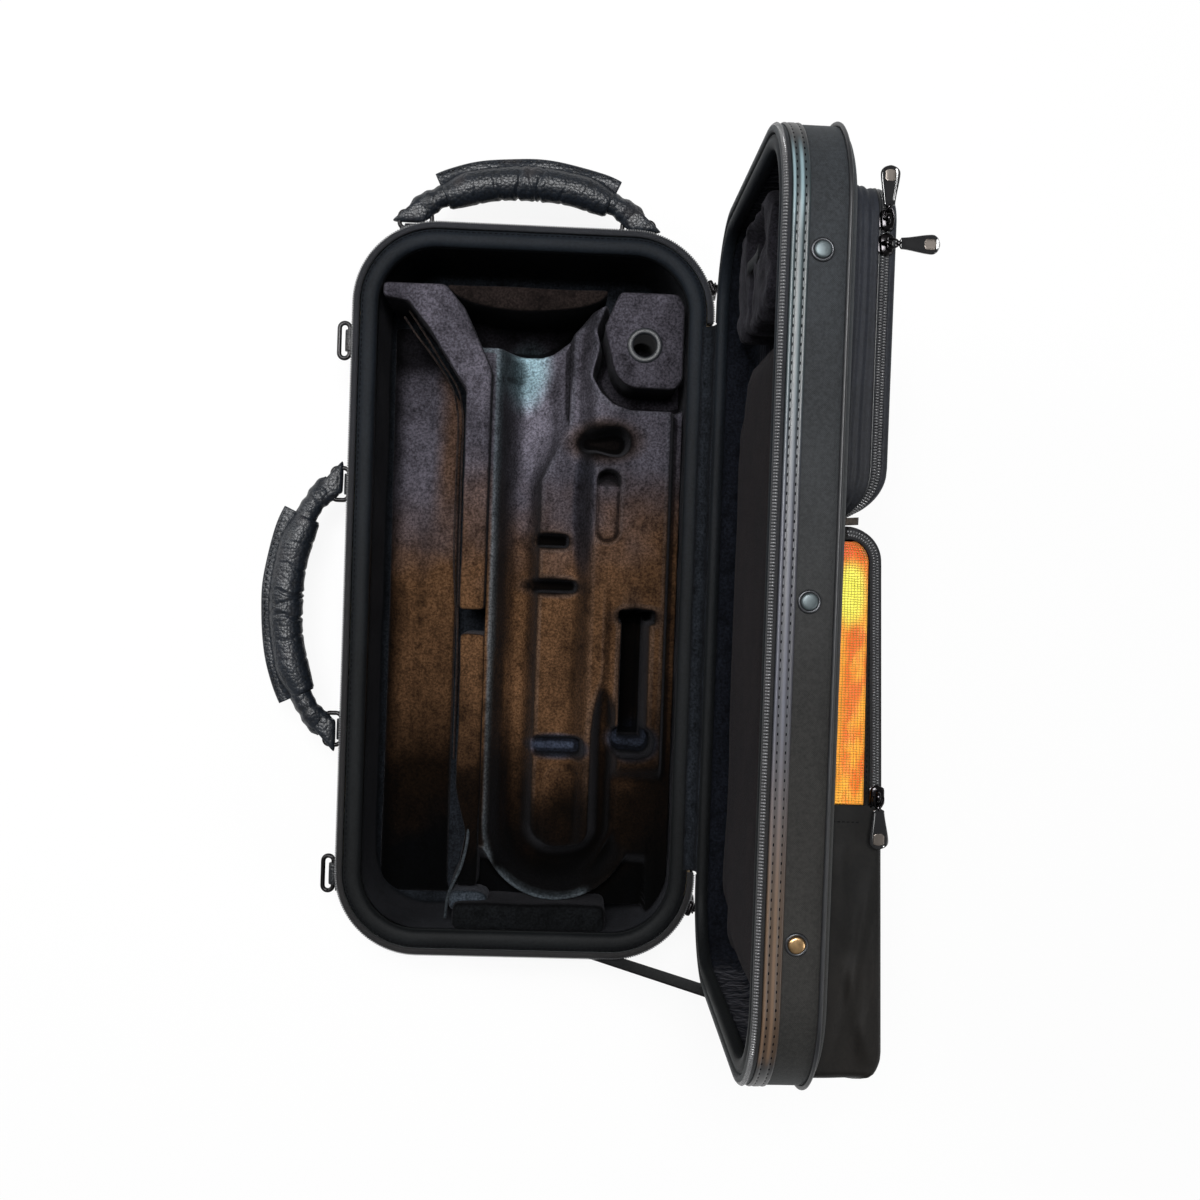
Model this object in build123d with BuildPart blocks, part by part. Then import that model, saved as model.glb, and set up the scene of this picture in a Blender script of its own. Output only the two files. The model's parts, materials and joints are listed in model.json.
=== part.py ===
from build123d import *
import os
from math import atan2, cos, degrees, radians, sin

os.makedirs("parts", exist_ok=True)

# A zipped, hard-shelled trumpet case lying on its back, its lid open to 90 degrees on a fabric hinge.
# X runs across the case, from the carrying handle to the hinge. Y runs along it, towards the end
# handle. Z is up. The origin is the centre of the base's bottom face. Millimetres.

# ---- Driving dimensions: the two halves ---------------------------------------------------------
case_length = 550.0
case_width = 270.0
corner_radius = 62.0
base_depth = 105.0
lid_depth = 41.5
rim_gap = 0.8           # from the rim plane to the lid's rim
glue_gap = 0.2          # between layers that are glued or sewn to each other
fit_gap = 0.3           # between pieces that are set in place
skin = 1.5              # woven nylon cover
edge_radius = 8.0       # where a half's big face turns into its wall
inner_edge_radius = 3.0
base_wall = 10.8        # laminated foam and board shell
base_floor = 7.8
base_lining_wall = 3.3
lid_wall = 7.3
lid_floor = 5.3
lid_lining_wall = 2.6
lining_corner = 1.0     # inside each lining, where its wall meets its floor
piping_size = 2.4

# ---- Driving dimensions: rims, zip, band --------------------------------------------------------
zip_width = 4.7         # tape and teeth, measured in from the outer face
zip_height = 5.0
binding_width = 13.0
base_binding_height = 10.0
lid_binding_width = 9.0
lid_binding_height = 8.0
binding_round = 3.5
band_width = 9.8        # smooth strip sewn round the lid beside the zip
band_thickness = 0.8
spine_length = 410.0    # fabric hinge, along Y
spine_reach = 20.0
spine_thickness = 1.0
spine_clearance = 3.0   # from the end of the hinge fabric to the end of the zip

# ---- Driving dimensions: the insert -------------------------------------------------------------
top_slot = 28.0         # deep slot between the insert and the end wall
raised_drop = 8.0       # ridge, bell plug and mouthpiece block, below the rim plane
deck_drop = 15.0
well_drop = 33.0
channel_drop = 60.0
bell_drop = 84.0
pad_thickness = 6.0
ridge_width = 19.0
ridge_x = -40.0         # middle of the straight stretch of the divider
ridge_bend_below_top = 72.0
ridge_notch_below_top = 245.0
ridge_notch_length = 19.0
ridge_low_drop = 28.0
ridge_top_left = 18.0               # where the ridge's right edge leaves the insert's top edge
ridge_right_turn = (22.0, 17.0)     # its next corner: in from the edge, below the insert's top
ridge_bend_steps = (9.0, -7.0)      # the bend's right and left corners, above its middle
ridge_left_turns = ((30.0, 33.0), (46.0, 14.0))
ridge_tail = 11.0                   # width of the end that runs out along the tray's top
ridge_low_turns = ((2.0, 8.0), (8.0, 50.0), (0.0, 85.0))    # in from its left edge, above the end block
bow_x = 27.0            # middle of the U that takes the bell bow
bow_below_top = 411.0
bow_outer_radius = 51.0
bow_inner_radius = 20.0
bow_right_leg = 45.0
channel_edge = 2.0      # from the U's inner side to the joint between two mouldings
bell_end_below_bend = 9.0
deck_left = 45.0
deck_below_top = 72.0
deck_length = 290.0
bell_radius = 61.5
bell_x = -5.5
bell_plug_rise = 18.0
bell_left_margin = 6.0
bell_right_turns = ((61.5, 6.0), (47.5, 13.0), (34.0, 30.0), (20.0, 50.0))  # right of it, below the top
slot_drop = 16.0        # finger slots, below the well
slots = ((-7.5, 191.0, 27.0, 8.0), (-8.0, 225.0, 38.0, 10.0), (0.0, 348.5, 38.0, 15.0))
recess_drop = 26.0      # domed recess and oval, below the deck
oval = (34.5, 163.5, 49.0, 19.0)        # right of the U's middle, below the top, long, wide
dome = (31.0, 124.0, 37.0, 24.0)
pit_floor = 10.0        # long pit in the deck, above the lining's floor
pit_top = (58.8, 247.0, 29.6, 12.0)
pit_neck = (55.2, 296.0, 17.5, 90.0)
pit_bulb = (56.5, 339.0, 29.0, 26.0)
tray_pad_gap = 1.0      # from the ridge to the tray's pad
tray_pad_bends = (36.0, 40.0, 34.0, 12.0)
end_block_depth = 21.0
end_block_left = -49.0
end_block_right = 70.0
mouthpiece_x = 84.2
mouthpiece_below_top = 40.3
mouthpiece_top_cut = (3.5, 8.0)         # top corners of the block that holds it
mouthpiece_block_left = 23.2            # left edge of the block, from the bore
mouthpiece_block_gap = 5.0              # from the block to the hinge wall's lining
mouthpiece_block_low = 32.5             # low edge, below the bore
mouthpiece_low_cut = (5.5, 7.5)
mouthpiece_left_turns = ((10.0, 32.5), (25.5, 9.0), (31.5, -12.0))   # left of and below the bore
mouthpiece_bore_radius = 8.75
mouthpiece_bore_depth = 60.0
grommet_radius = 13.5
grommet_height = 3.5
grommet_seat = 2.0
block_round = 7.0

# ---- Driving dimensions: pads in the lid ---------------------------------------------------------
lid_pad_height = 15.5
lid_pad_round = 5.0
lid_pad_margins = (14.0, 12.0)      # from the lining's long walls and its low end
lid_pad_gap = 8.0                   # between the two pads
lid_block_height = 24.0
lid_block_y = 178.0
lid_block_span = (-40.0, 85.0)      # across the closed case
lid_block_margin = 6.0

# ---- Driving dimensions: handles, rings, rivets -------------------------------------------------
handle_height = 60.0
wire_radius = 1.75
wire_clearance = 0.35
knuckle_wall = 1.9
knuckle_length = 15.0
ring_axis_out = 6.5     # from the wall to the pin line of a ring
tab_width = 22.0
tab_up = 14.0
tab_down = 26.0
tab_thickness = 2.4
side_handle_y = -16.0
side_handle_half_span = 96.0
side_grip_out = 57.0
side_grip_length = 137.0
end_handle_x = -9.0
end_handle_half_span = 87.0
end_grip_out = 45.0
end_grip_length = 131.0
handle_ring_width = 25.0
handle_ring_reach = 13.0
core_radius = 8.0
grip_radius = 13.5
flap_reach = 7.5
flap_thickness = 4.0
strap_ring_width = 27.0
strap_ring_reach = 8.0
strap_ring_height = 75.0
strap_ring_high_y = 189.0
strap_ring_low_y = -222.0
rivet_radius = 3.2
rivet_height = 1.6

# ---- Driving dimensions: stay strap, studs ------------------------------------------------------
stay_width = 20.0
stay_thickness = 1.5
stay_base_x = 45.0
stay_base_drop = 36.0
stay_lid_depth = 22.0
stay_lid_rise = 76.0
stay_rivet_radius = 2.2
stay_head_radius = 5.5
stud_depth = 23.0
stud_ys = (190.6, 4.5, -178.6)
stud_ring_radius = 6.5
stud_cap_radius = 4.6
stud_cap_height = 2.4

# ---- Driving dimensions: pockets ----------------------------------------------------------------
pocket_margin = 32.0    # from the lid's long sides
pocket_wall = 3.0
pocket_corner = 22.0
upper_top = 238.0
upper_bottom = 53.0
upper_gusset = 20.0
upper_zip_height = 4.0
upper_front = 5.0
lower_top = 47.0
lower_bottom = -270.0
lower_thin = 27.5       # depth of the lower pocket at its top
lower_thick = 38.5      # and near its bottom
lower_corner = 20.0
pocket_end_inset = 4.0
chain_width = 4.0
chain_height = 1.0
window_top = 30.0
window_bottom = -109.0
window_in = 5.0
window_out = 7.0
badge_y = -194.5
badge_length = 35.0
badge_width = 60.0
badge_thickness = 1.2
pocket_tab_length = 8.0
pocket_tab_width = 14.0

# ---- Driving dimensions: zip sliders and pulls --------------------------------------------------
slider_length = 12.0
slider_thickness = 3.6
slider_height = 8.5
slider_angle = 20.0     # round the corner from the end of the hinge side
bail_width = 2.2        # the slider's bail, a small arch over the pull's pin
bail_wall = 1.0
bail_half_gap = 1.6
pin_radius = 0.8
pin_rise = 1.3          # from the slider's top to the pin
arm_in = 2.4
arm_width = 1.2
arm_length = 6.0
pull_length = 24.0
pull_width = 9.0
upper_slider_ys = (217.0, 203.5)

# ---- Derived places -----------------------------------------------------------------------------
hinge_x = case_width / 2
rim_plane = Plane.XY.offset(base_depth)
lid_rim = Plane(origin=(hinge_x, 0, base_depth + case_width / 2), x_dir=(0, 0, -1), z_dir=(1, 0, 0))
base_face = Plane.XY
lid_face_x = hinge_x + rim_gap + lid_depth
lid_face = Plane(origin=(lid_face_x, 0, base_depth + case_width / 2), x_dir=(0, 0, -1), z_dir=(-1, 0, 0))
base_inset = skin + base_wall + base_lining_wall + 2 * glue_gap
binding_in = zip_width + fit_gap
insert_inset = max(base_inset + lining_corner, binding_in + binding_width) + fit_gap
inner_x = case_width / 2 - base_inset
inner_y = case_length / 2 - base_inset
insert_floor = skin + base_floor + base_lining_wall + 3 * glue_gap
insert_top_y = inner_y - top_slot
raised_z = base_depth - raised_drop
deck_z = base_depth - deck_drop
well_z = base_depth - well_drop
corner_x = case_width / 2 - corner_radius
corner_y = case_length / 2 - corner_radius


# ---- Shared shapes ------------------------------------------------------------------------------
def rounded(inset, mode=Mode.ADD):
    """The case's outline, drawn in from its outer face."""
    return RectangleRounded(case_width - 2 * inset, case_length - 2 * inset, corner_radius - inset, mode=mode)


def save(piece, label):
    """Label a finished piece and write it as its own file."""
    piece.part.label = label
    export_step(piece.part, f"parts/{label}.step")


def block(face, inset, low, high, radius):
    """A solid of the case's outline, its edge at the low end rounded."""
    with BuildPart() as solid:
        with BuildSketch(face.offset(low)):
            rounded(inset)
        extrude(amount=high - low)
        floor = solid.faces().sort_by(Axis(face.origin, face.z_dir))[0]
        fillet(floor.edges(), radius=radius)
    return solid.part


def tub(label, face, inset, low, high, wall, floor, radius, inner_radius):
    """One open-topped layer of a half of the case."""
    with BuildPart() as layer:
        add(block(face, inset, low, high, radius))
        add(block(face, inset + wall, low + floor, high + 1, inner_radius), mode=Mode.SUBTRACT)
    save(layer, label)


def ring(label, plane, low, high, outer, inner, top_radius=0.0, bottom_radius=0.0, gap=0.0, lengths=False):
    """A band round the case's outline: open at the hinge for a gap, or laid in straight and corner lengths."""
    with BuildPart() as band:
        with BuildSketch(plane.offset(low)):
            rounded(outer)
            rounded(inner, mode=Mode.SUBTRACT)
            if gap:
                with Locations((case_width / 2, 0)):
                    Rectangle(2 * corner_radius, gap, mode=Mode.SUBTRACT)
        extrude(amount=high - low)
        ends = band.faces().sort_by(Axis(plane.origin, plane.z_dir))
        if top_radius:
            fillet(ends[-1].edges(), radius=top_radius)
        if bottom_radius:
            fillet(band.faces().sort_by(Axis(plane.origin, plane.z_dir))[0].edges(), radius=bottom_radius)
        if lengths:
            with BuildSketch(plane.offset(low)):
                with Locations((corner_x, 0), (-corner_x, 0)):
                    Rectangle(fit_gap, case_length)
                with Locations((0, corner_y), (0, -corner_y)):
                    Rectangle(case_width, fit_gap)
                for side_x, side_y in ((1, 1), (-1, 1), (-1, -1), (1, -1)):
                    with Locations(Location((side_x * corner_x, side_y * corner_y), 45 * side_x * side_y)):
                        Rectangle(2 * corner_radius, fit_gap)
            extrude(amount=high - low, mode=Mode.SUBTRACT)
    save(band, label)


def outline(points):
    """A closed face through points, trimmed to stand inside the base's lining."""
    with BuildLine() as edge:
        Polyline(*points, close=True)
    make_face(edge.edges())
    rounded(insert_inset, mode=Mode.INTERSECT)


# ---- Base: cover, shell, lining -----------------------------------------------------------------
base_wall_top = base_depth - base_binding_height - fit_gap
base_zip_low = base_depth - fit_gap - zip_height
tub("base_cover", base_face, 0, 0, base_zip_low - glue_gap, skin, skin, edge_radius, edge_radius - skin)
shell_low = skin + glue_gap
tub("base_shell", base_face, shell_low, shell_low, base_wall_top, base_wall, base_floor,
    edge_radius - shell_low, inner_edge_radius)
lining_low = shell_low + base_floor + glue_gap
tub("base_lining", base_face, shell_low + base_wall + glue_gap, lining_low, base_wall_top,
    base_lining_wall, base_lining_wall, inner_edge_radius - glue_gap, lining_corner)

# ---- Base: binding, zip, piping -----------------------------------------------------------------
ring("base_rim_binding", rim_plane, -base_binding_height, 0, binding_in, binding_in + binding_width,
     top_radius=binding_round, lengths=True)
ring("base_zip", rim_plane, -zip_height - fit_gap, -fit_gap, 0, zip_width, top_radius=1.0,
     gap=spine_length + 2 * spine_clearance)
ring("base_piping", base_face, edge_radius, edge_radius + piping_size, -piping_size - glue_gap, -glue_gap,
     top_radius=1.0, bottom_radius=1.0)

# ---- Insert: outlines shared by the pieces and their seats --------------------------------------
ridge_left = ridge_x - ridge_width / 2
ridge_right = ridge_x + ridge_width / 2
ridge_bend_y = insert_top_y - ridge_bend_below_top
notch_top_y = insert_top_y - ridge_notch_below_top
notch_low_y = notch_top_y - ridge_notch_length
end_block_y = -inner_y + end_block_depth
ridge_points = (
    (-case_width / 2, insert_top_y),
    (ridge_left - ridge_top_left, insert_top_y),
    (ridge_right - ridge_right_turn[0], insert_top_y - ridge_right_turn[1]),
    (ridge_right, ridge_bend_y + ridge_bend_steps[0]),
    (ridge_right, notch_top_y),
    (ridge_left, notch_top_y),
    (ridge_left, ridge_bend_y + ridge_bend_steps[1]),
    *((ridge_left - left, insert_top_y - below) for left, below in ridge_left_turns),
    (-case_width / 2, insert_top_y - ridge_tail),
)
ridge_low_points = (
    (ridge_left, notch_low_y),
    (ridge_right, notch_low_y),
    (ridge_right, end_block_y + ridge_low_turns[0][1]),
    *((ridge_left + across, end_block_y + above) for across, above in ridge_low_turns),
)
bell_left = bell_x - bell_radius
bell_right = bell_x + bell_radius
mouthpiece_y = insert_top_y - mouthpiece_below_top
mouthpiece_right = inner_x - mouthpiece_block_gap
mouthpiece_points = (
    (mouthpiece_x - mouthpiece_block_left, insert_top_y - mouthpiece_top_cut[1]),
    (mouthpiece_x - mouthpiece_block_left + mouthpiece_top_cut[0], insert_top_y),
    (mouthpiece_right - mouthpiece_low_cut[0], insert_top_y),
    (mouthpiece_right, insert_top_y - mouthpiece_top_cut[1]),
    (mouthpiece_right, mouthpiece_y - mouthpiece_block_low + mouthpiece_low_cut[1]),
    (mouthpiece_right - mouthpiece_low_cut[0], mouthpiece_y - mouthpiece_block_low),
    *((mouthpiece_x - left, mouthpiece_y - below) for left, below in mouthpiece_left_turns),
)


def bell_plug_face():
    """The low dome that stands in the bell's mouth."""
    with BuildLine() as edge:
        Line((bell_left, insert_top_y), (bell_right, insert_top_y))
        ThreePointArc(
            (bell_left, insert_top_y), (bell_x, insert_top_y - bell_plug_rise), (bell_right, insert_top_y)
        )
    make_face(edge.edges())


def raised_piece(label, points, drop, round_radius):
    """A foam piece that stands on the lining, its top edge rounded."""
    with BuildPart() as piece:
        with BuildSketch(Plane.XY.offset(insert_floor)):
            outline(points)
        extrude(amount=base_depth - drop - insert_floor)
        fillet(piece.faces().sort_by(Axis.Z)[-1].edges(), radius=round_radius)
    save(piece, label)


# ---- Insert: divider, bell plug, end block, tray pad --------------------------------------------
raised_piece("divider_ridge", ridge_points, raised_drop, 2.5)
raised_piece("divider_lower", ridge_low_points, ridge_low_drop, 2.5)
end_block_points = (
    (end_block_left, -inner_y), (end_block_right, -inner_y),
    (end_block_right, end_block_y), (end_block_left, end_block_y),
)
raised_piece("end_block", end_block_points, raised_drop + 2.0, 3.0)

with BuildPart() as bell_plug:
    with BuildSketch(Plane.XY.offset(insert_floor)):
        bell_plug_face()
    extrude(amount=raised_z - insert_floor)
    fillet(bell_plug.faces().sort_by(Axis.Z)[-1].edges(), radius=2.0)
save(bell_plug, "bell_plug")

with BuildPart() as tray_floor_pad:
    with BuildSketch(Plane.XY.offset(insert_floor)):
        outline((
            (-case_width / 2, insert_top_y - tray_pad_bends[0]),
            (ridge_left - tray_pad_bends[2], insert_top_y - tray_pad_bends[1]),
            (ridge_left - tray_pad_gap, ridge_bend_y - tray_pad_bends[3]),
            (ridge_left - tray_pad_gap, -inner_y), (-case_width / 2, -inner_y),
        ))
    extrude(amount=pad_thickness)
    fillet(tray_floor_pad.faces().sort_by(Axis.Z)[-1].edges(), radius=2.0)
save(tray_floor_pad, "tray_floor_pad")

# ---- Insert: mouthpiece block and its grommet ---------------------------------------------------
with BuildPart() as mouthpiece_block:
    with BuildSketch(Plane.XY.offset(insert_floor)):
        outline(mouthpiece_points)
    extrude(amount=raised_z - insert_floor)
    fillet(mouthpiece_block.faces().sort_by(Axis.Z)[-1].edges(), radius=2.5)
    with Locations((mouthpiece_x, mouthpiece_y, raised_z)):
        CounterBoreHole(
            radius=mouthpiece_bore_radius, counter_bore_radius=grommet_radius + fit_gap,
            counter_bore_depth=grommet_seat, depth=mouthpiece_bore_depth,
        )
save(mouthpiece_block, "mouthpiece_block")

with BuildPart() as mouthpiece_grommet:
    with BuildSketch(Plane.XY.offset(raised_z - grommet_seat)):
        with Locations((mouthpiece_x, mouthpiece_y)):
            Circle(grommet_radius)
            Circle(mouthpiece_bore_radius, mode=Mode.SUBTRACT)
    extrude(amount=grommet_height)
    fillet(mouthpiece_grommet.faces().sort_by(Axis.Z)[-1].edges().sort_by(SortBy.LENGTH)[-1], radius=1.2)
save(mouthpiece_grommet, "mouthpiece_grommet")

# ---- Insert: the moulded cradle that holds the trumpet ------------------------------------------
bow_y = insert_top_y - bow_below_top
cradle_left = ridge_right + fit_gap
cradle_low = end_block_y + fit_gap
channel_z = base_depth - channel_drop
bell_z = base_depth - bell_drop
deck_top_y = insert_top_y - deck_below_top
deck_low_y = deck_top_y - deck_length

with BuildPart() as trumpet_cradle:
    with BuildSketch(Plane.XY.offset(insert_floor)):
        outline((
            (cradle_left, cradle_low), (case_width / 2, cradle_low), (case_width / 2, insert_top_y - 4.0),
            (ridge_right - 20.0, insert_top_y - 4.0), (ridge_right - 20.0, insert_top_y - 19.0),
            (cradle_left, ridge_bend_y + 7.0),
        ))
        for neighbour in (mouthpiece_points, ridge_points, ridge_low_points):
            with BuildLine():
                Polyline(*neighbour, close=True)
                offset(amount=fit_gap, kind=Kind.INTERSECTION, mode=Mode.REPLACE)
            make_face(mode=Mode.SUBTRACT)
    extrude(amount=deck_z - insert_floor)
    # The well round the valves lies lower than the deck beside the hinge.
    with BuildSketch(Plane.XY.offset(well_z)):
        with Locations((cradle_left, cradle_low)):
            Rectangle(deck_left - cradle_left, case_length, align=(Align.MIN, Align.MIN))
        with Locations((deck_left - 1, cradle_low)):
            Rectangle(case_width, deck_low_y - cradle_low, align=(Align.MIN, Align.MIN))
    extrude(amount=deck_drop + well_drop, mode=Mode.SUBTRACT)
    # The U that takes the bell tube on the left and the bell bow at the low end.
    with BuildSketch(Plane.XY.offset(channel_z)):
        with Locations((bow_x, bow_y)):
            Circle(bow_outer_radius)
            Rectangle(3 * bow_outer_radius, bow_outer_radius, align=(Align.CENTER, Align.MIN),
                      mode=Mode.SUBTRACT)
            Circle(bow_inner_radius, mode=Mode.SUBTRACT)
        channel_width = bow_outer_radius - bow_inner_radius
        with Locations((bow_x - bow_outer_radius, bow_y)):
            Rectangle(channel_width, ridge_bend_y - bow_y, align=(Align.MIN, Align.MIN))
        with Locations((bow_x + bow_inner_radius, bow_y)):
            Rectangle(channel_width, bow_right_leg, align=(Align.MIN, Align.MIN))
    extrude(amount=channel_drop, mode=Mode.SUBTRACT)
    # The bell's flare.
    with BuildSketch(Plane.XY.offset(bell_z)):
        with BuildLine():
            Polyline(
                (bow_x - bow_outer_radius + 1, ridge_bend_y - 30.0), (bow_x - bow_outer_radius, ridge_bend_y),
                (bell_left - bell_left_margin, insert_top_y), (bell_right, insert_top_y),
                *((bell_x + right, insert_top_y - below) for right, below in bell_right_turns),
                (bow_x - bow_inner_radius, ridge_bend_y - 30.0),
                close=True,
            )
        make_face()
    extrude(amount=bell_drop, mode=Mode.SUBTRACT)
    # Seats for the bell plug and the mouthpiece block, down to the lining.
    with BuildSketch(Plane.XY.offset(insert_floor)):
        bell_plug_face()
        offset(amount=fit_gap)
    extrude(amount=base_depth, mode=Mode.SUBTRACT)
    # Two finger-wide slots and a rest across the well.
    with BuildSketch(Plane.XY.offset(well_z - slot_drop)):
        for right, below, long_size, wide_size in slots:
            with Locations((bow_x + right, insert_top_y - below)):
                Rectangle(long_size, wide_size)
    extrude(amount=well_drop, mode=Mode.SUBTRACT)
    # The domed recess, the oval and the long pit in the deck.
    with BuildSketch(Plane.XY.offset(deck_z - recess_drop)):
        with Locations((bow_x + oval[0], insert_top_y - oval[1])):
            SlotOverall(oval[2], oval[3], rotation=90)
        with Locations((bow_x + dome[0], insert_top_y - dome[1])):
            SlotOverall(dome[2], dome[3])
    extrude(amount=2 * deck_drop + recess_drop, mode=Mode.SUBTRACT)
    with BuildSketch(Plane.XY.offset(insert_floor + pit_floor)):
        for right, below, wide_size, long_size in (pit_top, pit_neck):
            with Locations((bow_x + right, insert_top_y - below)):
                Rectangle(wide_size, long_size)
        with Locations((bow_x + pit_bulb[0], insert_top_y - pit_bulb[1])):
            SlotOverall(pit_bulb[2], pit_bulb[3])
    extrude(amount=base_depth, mode=Mode.SUBTRACT)


def cradle_part(label, x_span, y_span):
    """One moulding of the cradle: what stands between two x and two y places."""
    with BuildPart() as moulding:
        add(trumpet_cradle.part)
        with BuildSketch(Plane.XY):
            with Locations(((x_span[0] + x_span[1]) / 2, (y_span[0] + y_span[1]) / 2)):
                Rectangle(x_span[1] - x_span[0] - fit_gap, y_span[1] - y_span[0] - fit_gap)
        extrude(amount=base_depth, mode=Mode.INTERSECT)
    save(moulding, label)


# It is moulded in four parts: the bell's end, the tube's channel, the deck and the bow's end.
channel_edge_x = bow_x - bow_inner_radius + channel_edge
bell_end_y = ridge_bend_y - bell_end_below_bend
cradle_part("cradle_bell_end", (-case_width / 2, case_width / 2), (bell_end_y, case_length / 2))
cradle_part("cradle_channel", (-case_width / 2, channel_edge_x), (bow_y, bell_end_y))
cradle_part("cradle_deck", (channel_edge_x, case_width / 2), (bow_y, bell_end_y))
cradle_part("cradle_bow_end", (-case_width / 2, case_width / 2), (-case_length / 2, bow_y))


# ---- Wall tabs, rings and handles ---------------------------------------------------------------
def wall_plane(x, y, height, along):
    """A plane on an outer wall: local x runs along the wall, local y points away from it."""
    return Plane(origin=(x, y, height), x_dir=along, z_dir=(0, 0, 1))


side_plane = wall_plane(-case_width / 2, side_handle_y, handle_height, (0, 1, 0))
end_plane = wall_plane(end_handle_x, case_length / 2, handle_height, (1, 0, 0))
strap_high_plane = wall_plane(-case_width / 2, strap_ring_high_y, strap_ring_height, (0, 1, 0))
strap_low_plane = wall_plane(-case_width / 2, strap_ring_low_y, strap_ring_height, (0, 1, 0))
knuckle_bore = wire_radius + wire_clearance
knuckle_radius = knuckle_bore + knuckle_wall


def along_wall(plane, at):
    """The plane across the wall's length at one place, its local x pointing away from the wall."""
    origin = plane.origin + plane.x_dir * at
    return Plane(origin=origin, x_dir=plane.y_dir, z_dir=plane.x_dir)


def tabs(label, places):
    """Wall tabs: a sewn plate, and a loop that a ring's straight side turns in."""
    with BuildPart() as group:
        for plane, at in places:
            with BuildSketch(along_wall(plane, at - tab_width / 2)):
                with Locations((glue_gap, -tab_down)):
                    Rectangle(tab_thickness, tab_up + tab_down, align=(Align.MIN, Align.MIN))
            extrude(amount=tab_width)
        for plane, at in places:
            with BuildSketch(along_wall(plane, at - knuckle_length / 2)):
                with Locations((ring_axis_out, 0)):
                    Circle(knuckle_radius)
                with Locations((glue_gap + tab_thickness / 2, -knuckle_radius)):
                    Rectangle(ring_axis_out - tab_thickness / 2, 2 * knuckle_radius, align=(Align.MIN, Align.MIN))
                with Locations((ring_axis_out, 0)):
                    Circle(knuckle_bore, mode=Mode.SUBTRACT)
            extrude(amount=knuckle_length)
    save(group, label)


def wire_ring(width, reach, plane, at):
    """One rectangular wire ring with round corners, lying in the plane, its pin side on the wall tab."""
    with BuildPart() as wire:
        with BuildSketch(plane.offset(-wire_radius)):
            with Locations((at, ring_axis_out + reach / 2)):
                RectangleRounded(width + 2 * wire_radius, reach + 2 * wire_radius, reach / 2)
                RectangleRounded(width - 2 * wire_radius, reach - 2 * wire_radius, reach / 2 - 2 * wire_radius + 1,
                                 mode=Mode.SUBTRACT)
        extrude(amount=2 * wire_radius)
        fillet(wire.edges().filter_by(Axis.Z, reverse=True), radius=0.75 * wire_radius)
    return wire.part


def rings(label, width, reach, places):
    """Wire rings that hang in wall tabs."""
    with BuildPart() as group:
        for plane, at in places:
            add(wire_ring(width, reach, plane, at))
    save(group, label)


def handle(name, plane, half_span, grip_out, grip_length):
    """A rope-cored handle, its leather grip, and the rings that tie it to the wall."""
    ring_far = ring_axis_out + handle_ring_reach
    start_out = ring_far + knuckle_radius + core_radius * 0.35
    rings(f"{name}_rings", handle_ring_width, handle_ring_reach, ((plane, -half_span), (plane, half_span)))
    with BuildPart() as core:
        turn = 0.9 * (grip_out - start_out)
        with BuildLine(plane) as path:
            FilletPolyline((-half_span, start_out), (-half_span, grip_out), (half_span, grip_out),
                           (half_span, start_out), radius=turn)
        with BuildSketch(Plane(origin=path.line @ 0, z_dir=path.line % 0)):
            Circle(core_radius)
        sweep()
        # Flat leather ends, folded round the far side of each ring.
        for side in (-1, 1):
            with BuildSketch(along_wall(plane, side * half_span - knuckle_length / 2)):
                with Locations((ring_far, 0)):
                    Circle(knuckle_radius)
                    with Locations((start_out - ring_far, 0)):
                        Rectangle(2 * (start_out - ring_far), 2 * knuckle_radius)
                with Locations((ring_far, 0)):
                    Circle(knuckle_bore, mode=Mode.SUBTRACT)
            extrude(amount=knuckle_length)
        for side in (-1, 1):
            with BuildSketch(along_wall(plane, side * half_span - knuckle_length)):
                with Locations((ring_far, 0)):
                    Circle(knuckle_bore)
            extrude(amount=2 * knuckle_length, mode=Mode.SUBTRACT)
    save(core, f"{name}_core")
    with BuildPart() as grip:
        with BuildSketch(along_wall(plane, -grip_length / 2)):
            with Locations((grip_out, 0)):
                Circle(grip_radius)
            with Locations((grip_out, 0)):
                Rectangle(grip_radius + flap_reach, flap_thickness, align=(Align.MIN, Align.CENTER))
            with Locations((grip_out, 0)):
                Circle(core_radius + fit_gap, mode=Mode.SUBTRACT)
        extrude(amount=grip_length)
    save(grip, f"{name}_grip")


handle_tab_places = (
    (side_plane, -side_handle_half_span), (side_plane, side_handle_half_span),
    (end_plane, -end_handle_half_span), (end_plane, end_handle_half_span),
)
strap_tab_places = ((strap_high_plane, 0.0), (strap_low_plane, 0.0))
tabs("wall_tabs", handle_tab_places + strap_tab_places)
rings("strap_ring_high", strap_ring_width, strap_ring_reach, strap_tab_places[:1])
rings("strap_ring_low", strap_ring_width, strap_ring_reach, strap_tab_places[1:])
handle("side_handle", side_plane, side_handle_half_span, side_grip_out, side_grip_length)
handle("end_handle", end_plane, end_handle_half_span, end_grip_out, end_grip_length)

with BuildPart() as tab_rivets:
    rivet_low = -tab_down + 2.2 * rivet_radius
    rivet_high = -knuckle_radius - 2.0 * rivet_radius
    for plane, at in handle_tab_places + strap_tab_places:
        for along in (-tab_width / 4, tab_width / 4):
            origin = plane.origin + plane.x_dir * (at + along) + plane.z_dir * (rivet_low + rivet_high) / 2
            head = Plane(origin=origin + plane.y_dir * (glue_gap * 2 + tab_thickness), z_dir=plane.y_dir)
            with BuildSketch(head):
                Circle(rivet_radius)
            extrude(amount=rivet_height)
save(tab_rivets, "tab_rivets")

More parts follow.
